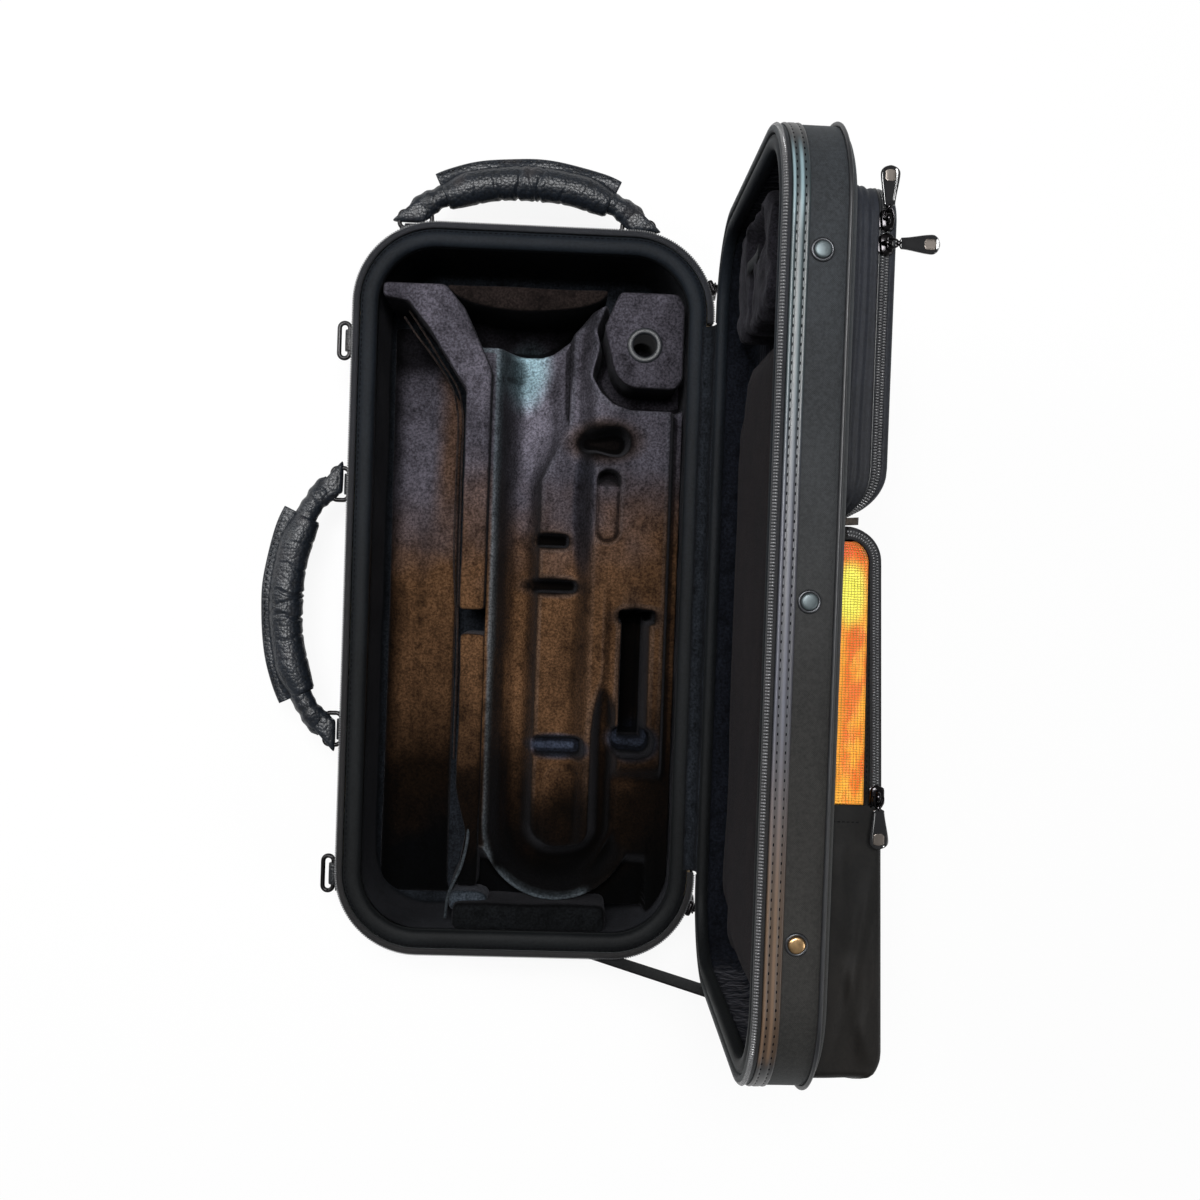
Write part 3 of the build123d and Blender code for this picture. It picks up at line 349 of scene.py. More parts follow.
def velvet(name, tone=None, depth=0.5, pale=1.0, painted_wall_light=0.22, deep=None, rims=False, tray=False,
           sheen=0.10, crumple=0.0):
    finish = Finish(name)
    place = finish.place()
    x, y, z = (place.part(axis) for axis in range(3))
    brushed = finish.noise(place * (1.0, 0.45, 1.0), 38.0, 4.0, 0.6)
    blotch = finish.noise(place * (1.0, 0.7, 1.0), 95.0, 5.0, 0.72)
    drift = finish.noise(place, 11.0, 3.0, 0.6) - 0.5
    pile = finish.noise(place, 560.0, 3.0, 0.75)
    if tone:
        base = finish.mix(brushed.band(0.3, 0.7), tone, tuple(c * 0.8 for c in tone))
    else:
        # Painted light: the hue runs from warm brown up to lilac grey along the case, and turns near black at the
        # low end as painted shade.
        where = y + drift * 0.16
        base = finish.mix(where.band(0.0, 0.12), umber, lilac)
        base = finish.mix(where.band(-0.225, -0.165), painted_shade_black, base)
    shade = (brushed.band(0.28, 0.72) * 0.60 + 0.52) * (blotch.band(0.32, 0.52) * 0.50 + 0.50) * pale
    speck = pile.band(0.34, 0.68) + 0.48
    fade = 1.0
    # Painted shade: darker towards the low end of the case, and sooner the further a point lies from the ridge
    # line.
    if not tone and not tray:
        fade = (where - abs(x - ridge_line) * 0.55).band(-0.190, -0.095) * 0.94 + 0.06
    if tray:
        base, shade = tray_painted_light(x, y, drift, base, shade)
    if rims:
        base, shade, fade = cradle_painted_light(finish, x, y, z, drift, base, shade, fade)
    # Painted shade on walls: the colour darkens as a face turns upright, down to the share given for walls.
    upright = finish.facing().part(2)
    shade = shade * (upright.band(0.30, 0.93) * (1.0 - painted_wall_light) + painted_wall_light)
    # Painted shade in hollows: the colour darkens towards the bottom of the given height range.
    if deep:
        shade = shade * (z.band(*deep) * 0.95 + 0.05)
    finish.set({
        "Base Color": base * shade * speck * fade,
        "Roughness": 0.95,
        "Specular IOR Level": 0.06,
        "Sheen Weight": sheen,
        "Sheen Roughness": 0.4,
        "Sheen Tint": (0.55, 0.55, 0.62),
    })
    if crumple:
        folds = finish.noise(place * (1.0, 0.7, 1.3), 42.0, 3.0, 0.55)
        finish.relief(pile * 0.06 + abs(folds - 0.5) * 1.9, crumple)
    else:
        finish.relief(pile * 0.75 + brushed * 0.25, depth)
    return finish.material


# These are copies of one velvet, with tone and brightness set by where each piece sits: lit and shaded copies,
# with painted light and shade in their colours.
lining_velvet = velvet("lining velvet", tone=(0.016, 0.019, 0.024), depth=0.5, painted_wall_light=0.5, sheen=0.05)
foam_velvet = velvet("velvet over foam", depth=0.7, deep=(0.030, 0.072), sheen=0.06)
block_velvet = velvet("mouthpiece block velvet", depth=0.7, deep=(0.030, 0.072), pale=0.68, sheen=0.06)
plug_velvet = velvet("bell plug velvet", tone=(0.019, 0.0138, 0.0125), depth=0.7, deep=(0.060, 0.085),
                     sheen=0.05)
end_velvet = velvet("end block velvet", tone=(0.0055, 0.0062, 0.0070), depth=0.7, sheen=0.05)
shoe_velvet = velvet("shoe velvet", tone=(0.040, 0.050, 0.062), depth=0.7, painted_wall_light=0.5)
lid_velvet = velvet("lid velvet", tone=(0.0100, 0.0066, 0.0058), depth=0.6, painted_wall_light=1.0, sheen=0.05)
bell_pad_velvet = velvet("bell pad velvet", tone=(0.019, 0.018, 0.023), depth=0.6, painted_wall_light=1.0, sheen=0.08)
lid_lining_velvet = velvet("lid lining velvet", tone=(0.0075, 0.0090, 0.0135), painted_wall_light=1.0, sheen=0.12,
                           crumple=4.0)
print("velvet mixed for the lining, the foam and the lid")


# %% [markdown]
# The outside is woven nylon. A plain weave is two sets of threads that take turns on top. The
# pattern gives each point its distance along and across the cloth, so a wave each way and their
# product make the over and under of the weave at its true pitch, whichever way the wall turns.

# %% Nylon, binding, tape and webbing
# Tint factors for a painted colour cast of the light: cooler towards the top end, warmer towards the low end.
cooler = (1.16, 1.26, 1.38)
warmer = (0.90, 0.82, 0.72)


def woven(name, colour, pitch, depth, rough=0.78, sheen=0.10, gloss=0.35, uneven=0.40):
    finish = Finish(name)
    along = finish.thread().part(0)
    across = finish.thread().part(1)
    place = finish.place()
    warp = along.wave(pitch)
    weft = across.wave(pitch)
    over = warp * (1.0 - weft) + weft * (1.0 - warp)
    fade = finish.noise(place, 14.0, 3.0)
    slub = finish.noise(place, 900.0, 1.0)
    grain = finish.noise(place, 430.0, 2.0, 0.7)
    worn = slub.band(0.3, 0.7) * 0.25 + grain.band(0.35, 0.65) * 0.35
    # The broad noise gives uneven tone and, strongest on the bag, painted shading of soft folds.
    shade = over * 0.35 + fade.band(0.3, 0.7) * uneven + worn + (0.70 - uneven)
    # Painted colour cast of the light: warmer low down the case, cooler high up.
    cool = tuple(c * k for c, k in zip(colour, cooler))
    warm = tuple(c * k for c, k in zip(colour, warmer))
    finish.set({
        "Base Color": finish.mix(place.part(1).band(-0.12, 0.22), warm, cool) * shade,
        "Roughness": over * -0.12 + (rough + 0.06),
        "Specular IOR Level": gloss,
        "Sheen Weight": sheen,
        "Sheen Roughness": 0.5,
        "Sheen Tint": (0.75, 0.82, 0.85),
    })
    finish.relief(over * 0.7 + slub * 0.3, depth)
    return finish.material


nylon = woven("woven nylon", (0.0185, 0.0195, 0.0205), 1.1, 0.16, gloss=0.28, sheen=0.06)
bag_nylon = woven("bag nylon", (0.0062, 0.0056, 0.0052), 0.9, 0.10, rough=0.56, sheen=0.02, gloss=0.22,
                  uneven=1.0)
soft_nylon = woven("soft pocket nylon", (0.0100, 0.0108, 0.0140), 0.9, 0.12, rough=0.66, sheen=0.06,
                   gloss=0.28)
binding_cloth = woven("padded binding", (0.0055, 0.0070, 0.0090), 0.8, 0.05, rough=0.62, sheen=0.02,
                      gloss=0.14)
tape_cloth = woven("zip tape", (0.009, 0.009, 0.011), 0.9, 0.14)
webbing = woven("webbing", (0.0045, 0.0046, 0.0055), 1.6, 0.30, rough=0.75, gloss=0.2, sheen=0.03)
tab_webbing = woven("tab webbing", (0.036, 0.028, 0.022), 1.3, 0.30, rough=0.75)
spine_cloth = woven("hinge cloth", (0.018, 0.019, 0.021), 1.2, 0.15)


# %% [markdown]
# Moulded, painted and plated parts are smooth, so their detail is finer: a little mottle in the
# roughness, a scuff here and there. One recipe covers them, with the metal share, the roughness and
# the scale of the wear as its settings.

# %% Moulded plastic, plated metal, piping and board
def moulded(name, colour, metal=0.0, rough=0.4, coat=0.0, wear=60.0, uneven=0.10, relief=0.03,
            mottle=0.35):
    finish = Finish(name)
    place = finish.place()
    scuffs = finish.noise(place, wear, 4.0, 0.65)
    fine = finish.noise(place, wear * 14.0, 2.0)
    shade = scuffs.band(0.35, 0.75) * mottle + (1.0 - mottle / 2)
    finish.set({
        "Base Color": finish.mix(1.0, colour, colour) * shade,
        "Metallic": metal,
        "Roughness": (scuffs - 0.5) * (2 * uneven) + rough,
        "Coat Weight": coat,
        "Coat Roughness": 0.12,
    })
    finish.relief(scuffs * 0.5 + fine * 0.5, relief)
    return finish.material


coil_plastic = moulded("zip coil", (0.085, 0.086, 0.090), rough=0.24, coat=0.5)
piping_vinyl = moulded("piping vinyl", (0.014, 0.015, 0.017), rough=0.45, relief=0.08)
grommet_plastic = moulded("grommet", (0.018, 0.020, 0.024), rough=0.46, coat=0.0)
black_nickel = moulded("black nickel", (0.034, 0.032, 0.034), metal=1.0, rough=0.16, wear=90.0)
pull_lacquer = moulded("pull lacquer", (0.007, 0.007, 0.008), rough=0.14, coat=1.0, uneven=0.04)
pull_seat = moulded("pull seat", (0.15, 0.130, 0.115), metal=0.7, rough=0.35)
ring_steel = moulded("ring wire", (0.034, 0.033, 0.034), metal=1.0, rough=0.34, wear=90.0)
stud_metal = moulded("stud cap", (0.085, 0.105, 0.112), metal=0.6, rough=0.42, wear=120.0)
brass_cap = moulded("brassy stud cap", (0.62, 0.40, 0.20), metal=1.0, rough=0.30, wear=150.0)
rivet_metal = moulded("rivet head", (0.055, 0.057, 0.062), metal=0.8, rough=0.35, wear=120.0)
board = moulded("board shell", (0.30, 0.23, 0.15), rough=0.85, relief=0.2)
plate_plastic = moulded("plain plate", (0.56, 0.56, 0.60), rough=0.28, coat=0.4, uneven=0.03,
                        relief=0.004, mottle=0.04)
seam_thread = moulded("seam thread", (0.004, 0.004, 0.005), rough=0.95)
seam_thread.node_tree.nodes["Principled BSDF"].inputs["Specular IOR Level"].default_value = 0.08
bore_dark = moulded("bore lining", (0.004, 0.004, 0.005), rough=0.9)


# %% [markdown]
# The grips are covered in pebbled synthetic leather. Its grain is a field of small rounded cells
# with creases between them, which is just what a Voronoi texture's distance to the nearest cell
# draws. The creases are painted darker as painted shade, and have less gloss.

# %% Pebbled leather
rubbed_brown = (0.030, 0.019, 0.013)


def pebbled(name, colour, size, relief=0.30):
    finish = Finish(name)
    place = finish.place()
    wobble = finish.noise(place, 160.0, 2.0) * 0.001
    values = {"Vector": (place + wobble) * (1.0, 1.0, 0.8), "Scale": 1.0 / (size * mm), "Randomness": 0.8}
    cell = finish.node("ShaderNodeTexVoronoi", {"feature": "F1"}, values)
    pebble = (1.0 - (cell * 1.25) ** 2.0).highest(0.0)
    rub = finish.noise(place, 34.0, 3.0)
    # Painted shade in the creases: the colour is darker between the pebbles.
    shade = pebble * 0.5 + rub.band(0.40, 0.75) * 0.5 + 0.35
    finish.set({
        "Base Color": finish.mix(rub.band(0.5, 0.8) * 0.5, colour, rubbed_brown) * shade,
        "Roughness": pebble * -0.08 + 0.48,
        "Specular IOR Level": 0.55,
    })
    finish.relief(pebble, relief)
    return finish.material


leather = pebbled("pebbled leather", (0.010, 0.014, 0.021), 2.6)
tab_leather = pebbled("tab leather", (0.010, 0.012, 0.015), 2.0)


# %% [markdown]
# The strip beside the lid's zip is glossy film over foam. Its colour is painted reflection that runs
# with its length: silver teal near the top, lilac grey in the middle, warm brown lower down, and
# black round the corners as painted shade. Each row of stitches pulls the film in, and the swelling
# beside it is painted paler as a painted highlight, with a painted gleam near the top.

# %% The glossy strip
strip_rows = (2.6, 7.2)
strip_swell_highlights = ((strip_rows[0] - 1.2, 1.3), (strip_rows[1] - 1.5, 1.6))
strip_reflected_silver = (0.058, 0.082, 0.090)
strip_reflected_grey = (0.082, 0.085, 0.106)
strip_reflected_bronze = (0.118, 0.074, 0.046)
strip_corner_shade_black = (0.004, 0.0045, 0.0055)


def film(name):
    finish = Finish(name)
    place = finish.place()
    y = place.part(1)
    across = finish.thread().part(1)
    # Painted reflection: the colour runs from bronze low down through grey to silver teal high up.
    run = finish.mix(y.band(0.03, 0.15), strip_reflected_grey, strip_reflected_silver)
    run = finish.mix(y.band(-0.17, -0.05), strip_reflected_bronze, run)
    # Painted shade: black round the corners at both ends.
    ends = y.band(0.238, 0.258).highest(1.0 - y.band(-0.252, -0.240))
    # Painted highlights on the swellings beside the stitch rows, with a painted gleam near the top.
    painted_swell_light = [1.0 - abs(across - middle).band(0.2, reach) for middle, reach in strip_swell_highlights]
    lit_crest = painted_swell_light[0].highest(painted_swell_light[1])
    painted_gleam = y.band(0.195, 0.220)
    shade = lit_crest * (painted_gleam * 2.2 + 0.60) + 0.42
    colour = finish.mix(ends, run * shade, strip_corner_shade_black)
    creases = finish.noise(place * (1.0, 0.3, 1.0), 260.0, 3.0)
    finish.set({
        "Base Color": colour,
        "Roughness": creases * 0.12 + 0.36,
        "Coat Weight": 0.12,
        "Coat Roughness": 0.25,
    })
    finish.relief(creases * 0.4 + lit_crest * 0.6, 0.20)
    return finish.material


strip_film = film("stitched film")


# %% [markdown]
# The pocket window is net over a bright orange lining. The net is made of real strands further
# down. Behind it the cloth is brightest near its top, a painted lime highlight, and deepens to
# orange, and it has a painted glow: it emits a little light though it is no lamp.

# %% Orange cloth and its net
painted_highlight_place = (0.1880, 0.010, 0.0092, 0.019)
deep_orange = (0.90, 0.150, 0.008)
amber = (1.0, 0.46, 0.035)
lime = (0.93, 0.95, 0.120)
top_red = (0.86, 0.085, 0.008)
top_brown = (0.22, 0.060, 0.014)
net_tone = (0.24, 0.19, 0.012)
net_cell = 0.0016


def orange_cloth(name, strands=False):
    finish = Finish(name)
    place = finish.place()
    x, y = place.part(0), place.part(1)
    ripple = finish.noise(place * (3.0, 1.0, 1.0), 60.0, 3.0)
    # Painted highlight: a lime spot near the top of the window.
    painted_highlight = (1.0 - off_spot(x, y, painted_highlight_place).band(0.20, 1.50)) * 0.9
    warm = ripple.band(0.35, 0.66) * 0.85
    warm = warm.highest((1.0 - abs(x - 0.184).band(0.0, 0.005)) * (1.0 - y.band(-0.03, 0.03)) * 0.7)
    top = y.band(0.021, 0.034)
    colour = finish.mix(warm, deep_orange, amber).mixed(painted_highlight, lime).mixed(top * 0.9, top_red)
    colour = colour.mixed(top * ripple.band(0.45, 0.62) * 0.8, top_brown)
    if strands:
        colour = colour.mixed(0.70, net_tone)
    cells = x.wave(net_cell) * y.wave(net_cell)
    finish.set({
        "Base Color": colour * (cells * 0.3 + ripple * 0.4 + 0.62),
        "Roughness": 0.55,
        # Painted glow: the cloth emits a little light though it is no lamp.
        "Emission Color": colour * (0.35 if strands else 0.9),
        "Emission Strength": 0.22,
    })
    finish.relief(cells * 0.6 + ripple * 0.4, 0.25)
    return finish.material


orange_lining = orange_cloth("orange lining")
orange_net = orange_cloth("orange net", strands=True)
print("finishes:", len(bpy.data.materials))


# %% [markdown]
# Pieces are cut like cloth. A `Pattern` gathers grids of points, flat faces and small solids, and
# remembers how far along and across the cloth each corner lies, for the weaves. Then it becomes one
# mesh, takes a finish, and is hung on the CAD body that carries it.

# %% Cutting a piece
@contextmanager
def reworked(mesh):
    """A mesh opened for editing, and written back afterwards."""
    edit = bmesh.new()
    edit.from_mesh(mesh)
    yield edit
    edit.to_mesh(mesh)
    edit.free()


def new_piece(name, mesh):
    piece = bpy.data.objects.new(name, mesh)
    bpy.context.scene.collection.objects.link(piece)
    return piece


class Pattern:
    """Points, faces and thread places that become one mesh."""

    def __init__(self):
        self.points = []
        self.faces = []
        self.threads = []
        self.count = 0

    def add(self, points, faces, threads=None):
        points = np.asarray(points, float).reshape(-1, 3)
        for n, face in enumerate(faces):
            self.faces.append([int(i) + self.count for i in face])
            self.threads.append(threads[n] if threads is not None else points[list(face)][:, :2])
        self.points.append(points)
        self.count += len(points)
        return self

    def grid(self, grid, along=None, across=None, ring=False, tube=False, turn=False):
        """A sheet of points in rows. A ring joins its last row to its first, a tube its columns."""
        rows, columns = grid.shape[:2]
        if along is None:
            along = np.arange(rows + 1) * 2.0
        if across is None:
            across = np.arange(columns + 1) * 2.0
        i, j = np.meshgrid(np.arange(rows - (not ring)), np.arange(columns - (not tube)), indexing="ij")
        i, j = i.ravel(), j.ravel()
        corners = [(i, j), (i, j + 1), (i + 1, j + 1), (i + 1, j)]
        if turn:
            corners.reverse()
        faces = np.stack([(a % rows) * columns + b % columns for a, b in corners], 1)
        threads = np.stack([np.stack([along[a], across[b]], 1) for a, b in corners], 1)
        return self.add(grid, faces, threads)

    def cap(self, ring, turn=False):
        """One flat face that closes a ring of points."""
        order = range(len(ring))
        return self.add(ring, [list(order)[::-1] if turn else list(order)])

    def closed_tube(self, grid, turn=False):
        """A tube with a flat face at each end."""
        grid = np.asarray(grid, float)
        return self.grid(grid, tube=True, turn=turn).cap(grid[0], turn=not turn).cap(grid[-1], turn=turn)

    def make(self, name, finish, slot, body=None, stands_for=(), smooth=True, weld=0.0):
        mesh = bpy.data.meshes.new(name)
        mesh.from_pydata((np.concatenate(self.points) * mm).tolist(), [], self.faces)
        layer = mesh.uv_layers.new(name="thread")
        layer.uv.foreach_set("vector", np.concatenate([np.ravel(t) for t in self.threads]).astype(np.float32))
        mesh.polygons.foreach_set("use_smooth", [smooth] * len(mesh.polygons))
        if weld:
            with reworked(mesh) as edit:
                bmesh.ops.remove_doubles(edit, verts=edit.verts, dist=weld * mm)
                bmesh.ops.recalc_face_normals(edit, faces=edit.faces)
        mesh.materials.append(finish)
        return hang(new_piece(name, mesh), body, stands_for)


def hang(piece, body=None, stands_for=()):
    """Hangs a finished piece on a body and says which CAD nodes it stands for."""
    if body:
        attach(piece, body)
    if stands_for:
        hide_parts(*stands_for)
    return piece


# %% [markdown]
# Both halves are edged by the same rounded outline, so most of the case is a profile carried round
# it: cover, tape, binding, lining. An outline is kept as cores and normals. A layer that lies
# further in is the same outline with a smaller radius, so layers stay parallel round the corners.

# %% The outline and what is swept along it
corner_steps = 20


class Outline:
    """A rounded rectangle as cores and outward normals, from the middle of its first side."""

    def __init__(self, half_x, half_y, radius, step=7.0, gap=0.0, centre=(0.0, 0.0)):
        self.radius = radius
        self.closed = gap == 0.0
        x, y = half_x - radius, half_y - radius
        stops = np.array([(x, gap / 2), (x, y), (-x, y), (-x, -y), (x, -y), (x, -gap / 2)])
        cores, normals = [], []
        for side in range(5):
            start, end = stops[side], stops[side + 1]
            turn = side * math.pi / 2
            count = max(2, round(np.linalg.norm(end - start) / step))
            share = np.linspace(0, 1, count, endpoint=False)[:, None]
            cores.append(start + (end - start) * share)
            normals.append(np.tile((math.cos(turn), math.sin(turn)), (count, 1)))
            if side < 4:
                angles = turn + np.linspace(0, math.pi / 2, corner_steps, endpoint=False)
                cores.append(np.tile(end, (corner_steps, 1)))
                normals.append(np.stack([np.cos(angles), np.sin(angles)], 1))
        if gap:
            cores.append(stops[5:])
            normals.append(np.array([(1.0, 0.0)]))
        self.cores = np.concatenate(cores) + np.array(centre)
        self.normals = np.concatenate(normals)
        edge = self.cores + self.normals * radius
        loop = np.concatenate([edge, edge[:1]]) if self.closed else edge
        self.along = distances_of(loop)
        self.length = self.along[-1]

    def at(self, inset):
        """The outline drawn in by an inset."""
        return self.cores + self.normals * (self.radius - inset)

    def sample(self, distances, inset):
        """Points and normals at distances along the outline."""
        cores = np.concatenate([self.cores, self.cores[:1]]) if self.closed else self.cores
        normals = np.concatenate([self.normals, self.normals[:1]]) if self.closed else self.normals
        core = np.stack([np.interp(distances, self.along, cores[:, k]) for k in (0, 1)], 1)
        normal = np.stack([np.interp(distances, self.along, normals[:, k]) for k in (0, 1)], 1)
        normal /= np.linalg.norm(normal, axis=1)[:, None]
        return core + normal * (self.radius - inset), normal

    def sweep(self, profile, place, puff=None):
        """The grid that a profile of (inset, height) points leaves behind."""
        profile = np.asarray(profile, float)
        inset = np.broadcast_to(profile[:, 0], (len(self.cores), len(profile))).copy()
        if puff is not None:
            inset -= puff(self.along[:len(self.cores), None], profile[None, :, 1])
        flat = self.cores[:, None] + self.normals[:, None] * (self.radius - inset)[..., None]
        return place(flat[..., 0], flat[..., 1], np.broadcast_to(profile[:, 1], inset.shape))


def distances_of(points):
    """Millimetres along a line of points, from its first."""
    return np.concatenate([[0.0], np.cumsum(np.linalg.norm(np.diff(points, axis=0), axis=1))])


def across_of(profile):
    """Millimetres across the cloth at each point of a profile."""
    profile = np.asarray(profile, float)
    return distances_of(np.concatenate([profile, profile[:1]]))


def band_round(outline, profile, place, closed=True, puff=None):
    """A pattern with one profile carried round an outline."""
    grid = outline.sweep(profile, place, puff)
    pattern = Pattern()
    along = np.append(outline.along, outline.length)
    pattern.grid(grid, along, across_of(profile), ring=outline.closed, tube=closed, turn=place is on_base)
    if closed and not outline.closed:
        pattern.cap(grid[0])
        pattern.cap(grid[-1], turn=True)
    return pattern


def quilt(along, height, size, depth, seed=0.0):
    """Soft uneven swelling of cloth over board."""
    swell = np.sin(along / size + seed) + np.sin(along / (0.37 * size) + 2.1 * seed + height / 17.0)
    return depth * 0.5 * (swell + np.sin(height / (0.4 * size) + seed))


case_outline = Outline(half_width, half_length, corner_radius)
zip_outline = Outline(half_width, half_length, corner_radius, gap=hinge_gap)
print(f"outline {case_outline.length:.0f} mm round, {zip_outline.length:.0f} mm of it zipped")


# %% [markdown]
# The covers come first, because they carry everything else to the eye. Each is a sheet that turns
# in at the hem, runs down the wall, rounds the edge and crosses the big face. Real nylon over board
# swells a fraction of a millimetre between its seams, so the wall gets an uneven puff.

# %% Outer covers
hem = 1.5
cover_edge = 8.0


def cover_profile(hem_height, deep):
    """A cover's section, from the hem inside the rim to the middle of the big face."""
    wall = [(0.0, h) for h in np.arange(hem_height - 3.0, cover_edge - deep, -7.0)]
    angles = np.linspace(0, math.pi / 2, 7)
    edge = [(cover_edge * (1 - math.cos(a)), cover_edge - deep - cover_edge * math.sin(a)) for a in angles]
    top = [(hem, hem_height - 1.0), (hem - 0.2, hem_height - 0.2), (0.5, hem_height), (0.1, hem_height - 0.6)]
    return top + wall + edge + [(20.0, -deep), (38.0, -deep), (corner_radius - 3.0, -deep)]


def puffed_above(foot, size, depth, seed=0.0):
    """Swelling of the cloth above a height."""
    return lambda along, height: np.where(height > foot, quilt(along, height, size, depth, seed), 0.0)


def cover(name, hem_height, deep, place, body, node, seed):
    profile = cover_profile(hem_height, deep)
    puff = puffed_above(4.0 - deep, 34.0, 0.28, seed)
    pattern = band_round(case_outline, profile, place, closed=False, puff=puff)
    last = case_outline.sweep(profile[-1:], place)[:, 0]
    pattern.cap(last, turn=place is on_base)
    return pattern.make(name, nylon, "nylon_cover", body, (node,), weld=0.01)


cover("base_cover_cloth", -5.5, rim_z, on_base, "base", "base_cover", 0.0)
cover("lid_cover_cloth", -5.3, lid_deep, on_lid, "lid", "lid_cover", 1.7)
print("covers cut")

# %% [markdown]
# A zip is a woven tape with a coil of teeth along its free edge. The tape is swept. The teeth are
# real: one small bent loop, repeated every millimetre and a half along the outline, because their
# sparkle at a low angle is what makes a zip look like one.

# %% Zips round both rims
tooth_pitch = 1.75
zip_wide = 4.7
zip_high = 5.0


def tooth(width, length, height):
    """One tooth of a coil, as offsets along the zip, across it and up from the tape."""
    steps = np.linspace(0, math.pi, 5)
    ring = [(-width / 2 * math.cos(a), height * math.sin(a) ** 0.7) for a in steps]
    points = [(side * length / 2, across, up) for side in (-1, 1) for across, up in ring]
    faces = [(k, k + 1, k + 6, k + 5) for k in range(4)] + [(4, 3, 2, 1, 0), (5, 6, 7, 8, 9)]
    return np.array(points), faces


def teeth(pattern, places, along, across, up, width, length=1.05, height=0.7):
    """Teeth at places, each turned to its three directions."""
    shape, faces = tooth(width, length, height)
    for spot, a, b, c in zip(places, along, across, up):
        pattern.add(spot + shape[:, :1] * a + shape[:, 1:2] * b + shape[:, 2:] * c, faces)
    return pattern


def frames_along(outline, spacing, inset, height, place, margin=0.0):
    """Places along an outline, with the directions along it, out of the wall and up to the rim."""
    count = int((outline.length - 2 * margin) / spacing)
    distances = margin + (np.arange(count) + 0.5) * (outline.length - 2 * margin) / count
    spots, normals = outline.sample(distances, inset)
    zero = np.zeros(count)
    origin = place(zero, zero, zero)
    places = place(spots[:, 0], spots[:, 1], zero + height)
    out = place(normals[:, 0], normals[:, 1], zero) - origin
    rise = place(zero, zero, zero + 1.0) - origin
    return places, np.cross(rise, out), out, rise


def rim_zip(name, place, body, node, top):
    tape = [(0.3, top - zip_high), (0.0, top - zip_high + 0.5), (0.0, top - 1.6), (0.5, top - 0.6),
            (1.6, top - 0.2), (3.2, top), (4.3, top - 0.2), (zip_wide, top - 0.8), (zip_wide, top - zip_high)]
    pattern = band_round(zip_outline, tape, place)
    pattern.make(f"{name}_tape", tape_cloth, "zip_tape", body, (node,), weld=0.01)
    places, along, out, rise = frames_along(zip_outline, tooth_pitch, 0.35, top - 1.7, place, 1.0)
    lean = out * 0.80 + rise * 0.60
    across = rise * 0.80 - out * 0.60
    coil = teeth(Pattern(), places, along, across, lean, 3.0, height=0.95)
    coil.make(f"{name}_coil", coil_plastic, "zip_tape", body)


rim_zip("base_zip", on_base, "base", "base_zip", -0.3)
rim_zip("lid_zip", on_lid, "lid", "lid_zip", 0.0)
print("zips:", int(zip_outline.length / tooth_pitch), "teeth on each half")

# %% [markdown]
# Inside each zip runs a padded binding: a soft tube of smooth cloth round the rim. Its crown is a
# rounded arch with a sewn groove near its outer edge, and it swells a little between the stitches.

# %% Padded bindings and their seams
def padded_binding(name, place, body, node, start, wide, high, puffed):
    arch = np.linspace(math.pi, 0.0, 15)
    middle, half = start + wide / 2, wide / 2
    crown = [(middle + half * math.cos(a), -puffed + puffed * math.sin(a) ** 0.62) for a in arch]
    groove = [(inset, height - 0.9 * math.exp(-((inset - start - 2.0) / 0.8) ** 2))
              for inset, height in crown]
    profile = [(start, -high)] + groove + [(start + wide, -high)]
    puff = puffed_above(-puffed, 19.0, 0.16)
    pattern = band_round(case_outline, profile, place, puff=puff)
    pattern.make(name, binding_cloth, "binding_vinyl", body, (node,))
    places, along, out, rise = frames_along(case_outline, 4.2, start + 2.0, -1.6, place)
    stitches = teeth(Pattern(), places, out, along, rise, 2.6, length=0.7, height=0.35)
    stitches.make(f"{name}_stitches", seam_thread, "binding_vinyl", body)


padded_binding("base_binding", on_base, "base", "base_rim_binding", 5.0, 13.0, 10.0, 5.0)
padded_binding("lid_binding", on_lid, "lid", "lid_rim_binding", 5.0, 9.0, 8.0, 4.0)

# %% [markdown]
# Piping covers the seam where wall meets big face. It is a cord wrapped in vinyl. The ends of the
# wrap are sewn into the seam as a flap, so the small round section runs on inwards to the cover.

# %% Piping
def piping(name, place, body, node, height, flap=1.6):
    angles = np.linspace(0, 2 * math.pi, 10, endpoint=False)
    cord = [(-1.2 * math.cos(a), 1.2 * math.sin(a)) for a in angles]
    section = [(inset - 1.4 + (flap if inset > 0.5 else 0.0), height + rise) for inset, rise in cord]
    pattern = band_round(case_outline, section, place)
    pattern.make(name, piping_vinyl, "piping_vinyl", body, (node,), weld=0.01)


piping("base_piping_cord", on_base, "base", "base_piping", 9.2 - rim_z)
piping("lid_piping_cord", on_lid, "lid", "lid_piping", 5.2 - lid_deep)

# %% [markdown]
# The velvet linings are glued to the board, so they follow it closely, but the cloth gathers a
# little in the corners. A slow swelling down the walls gives those soft folds.

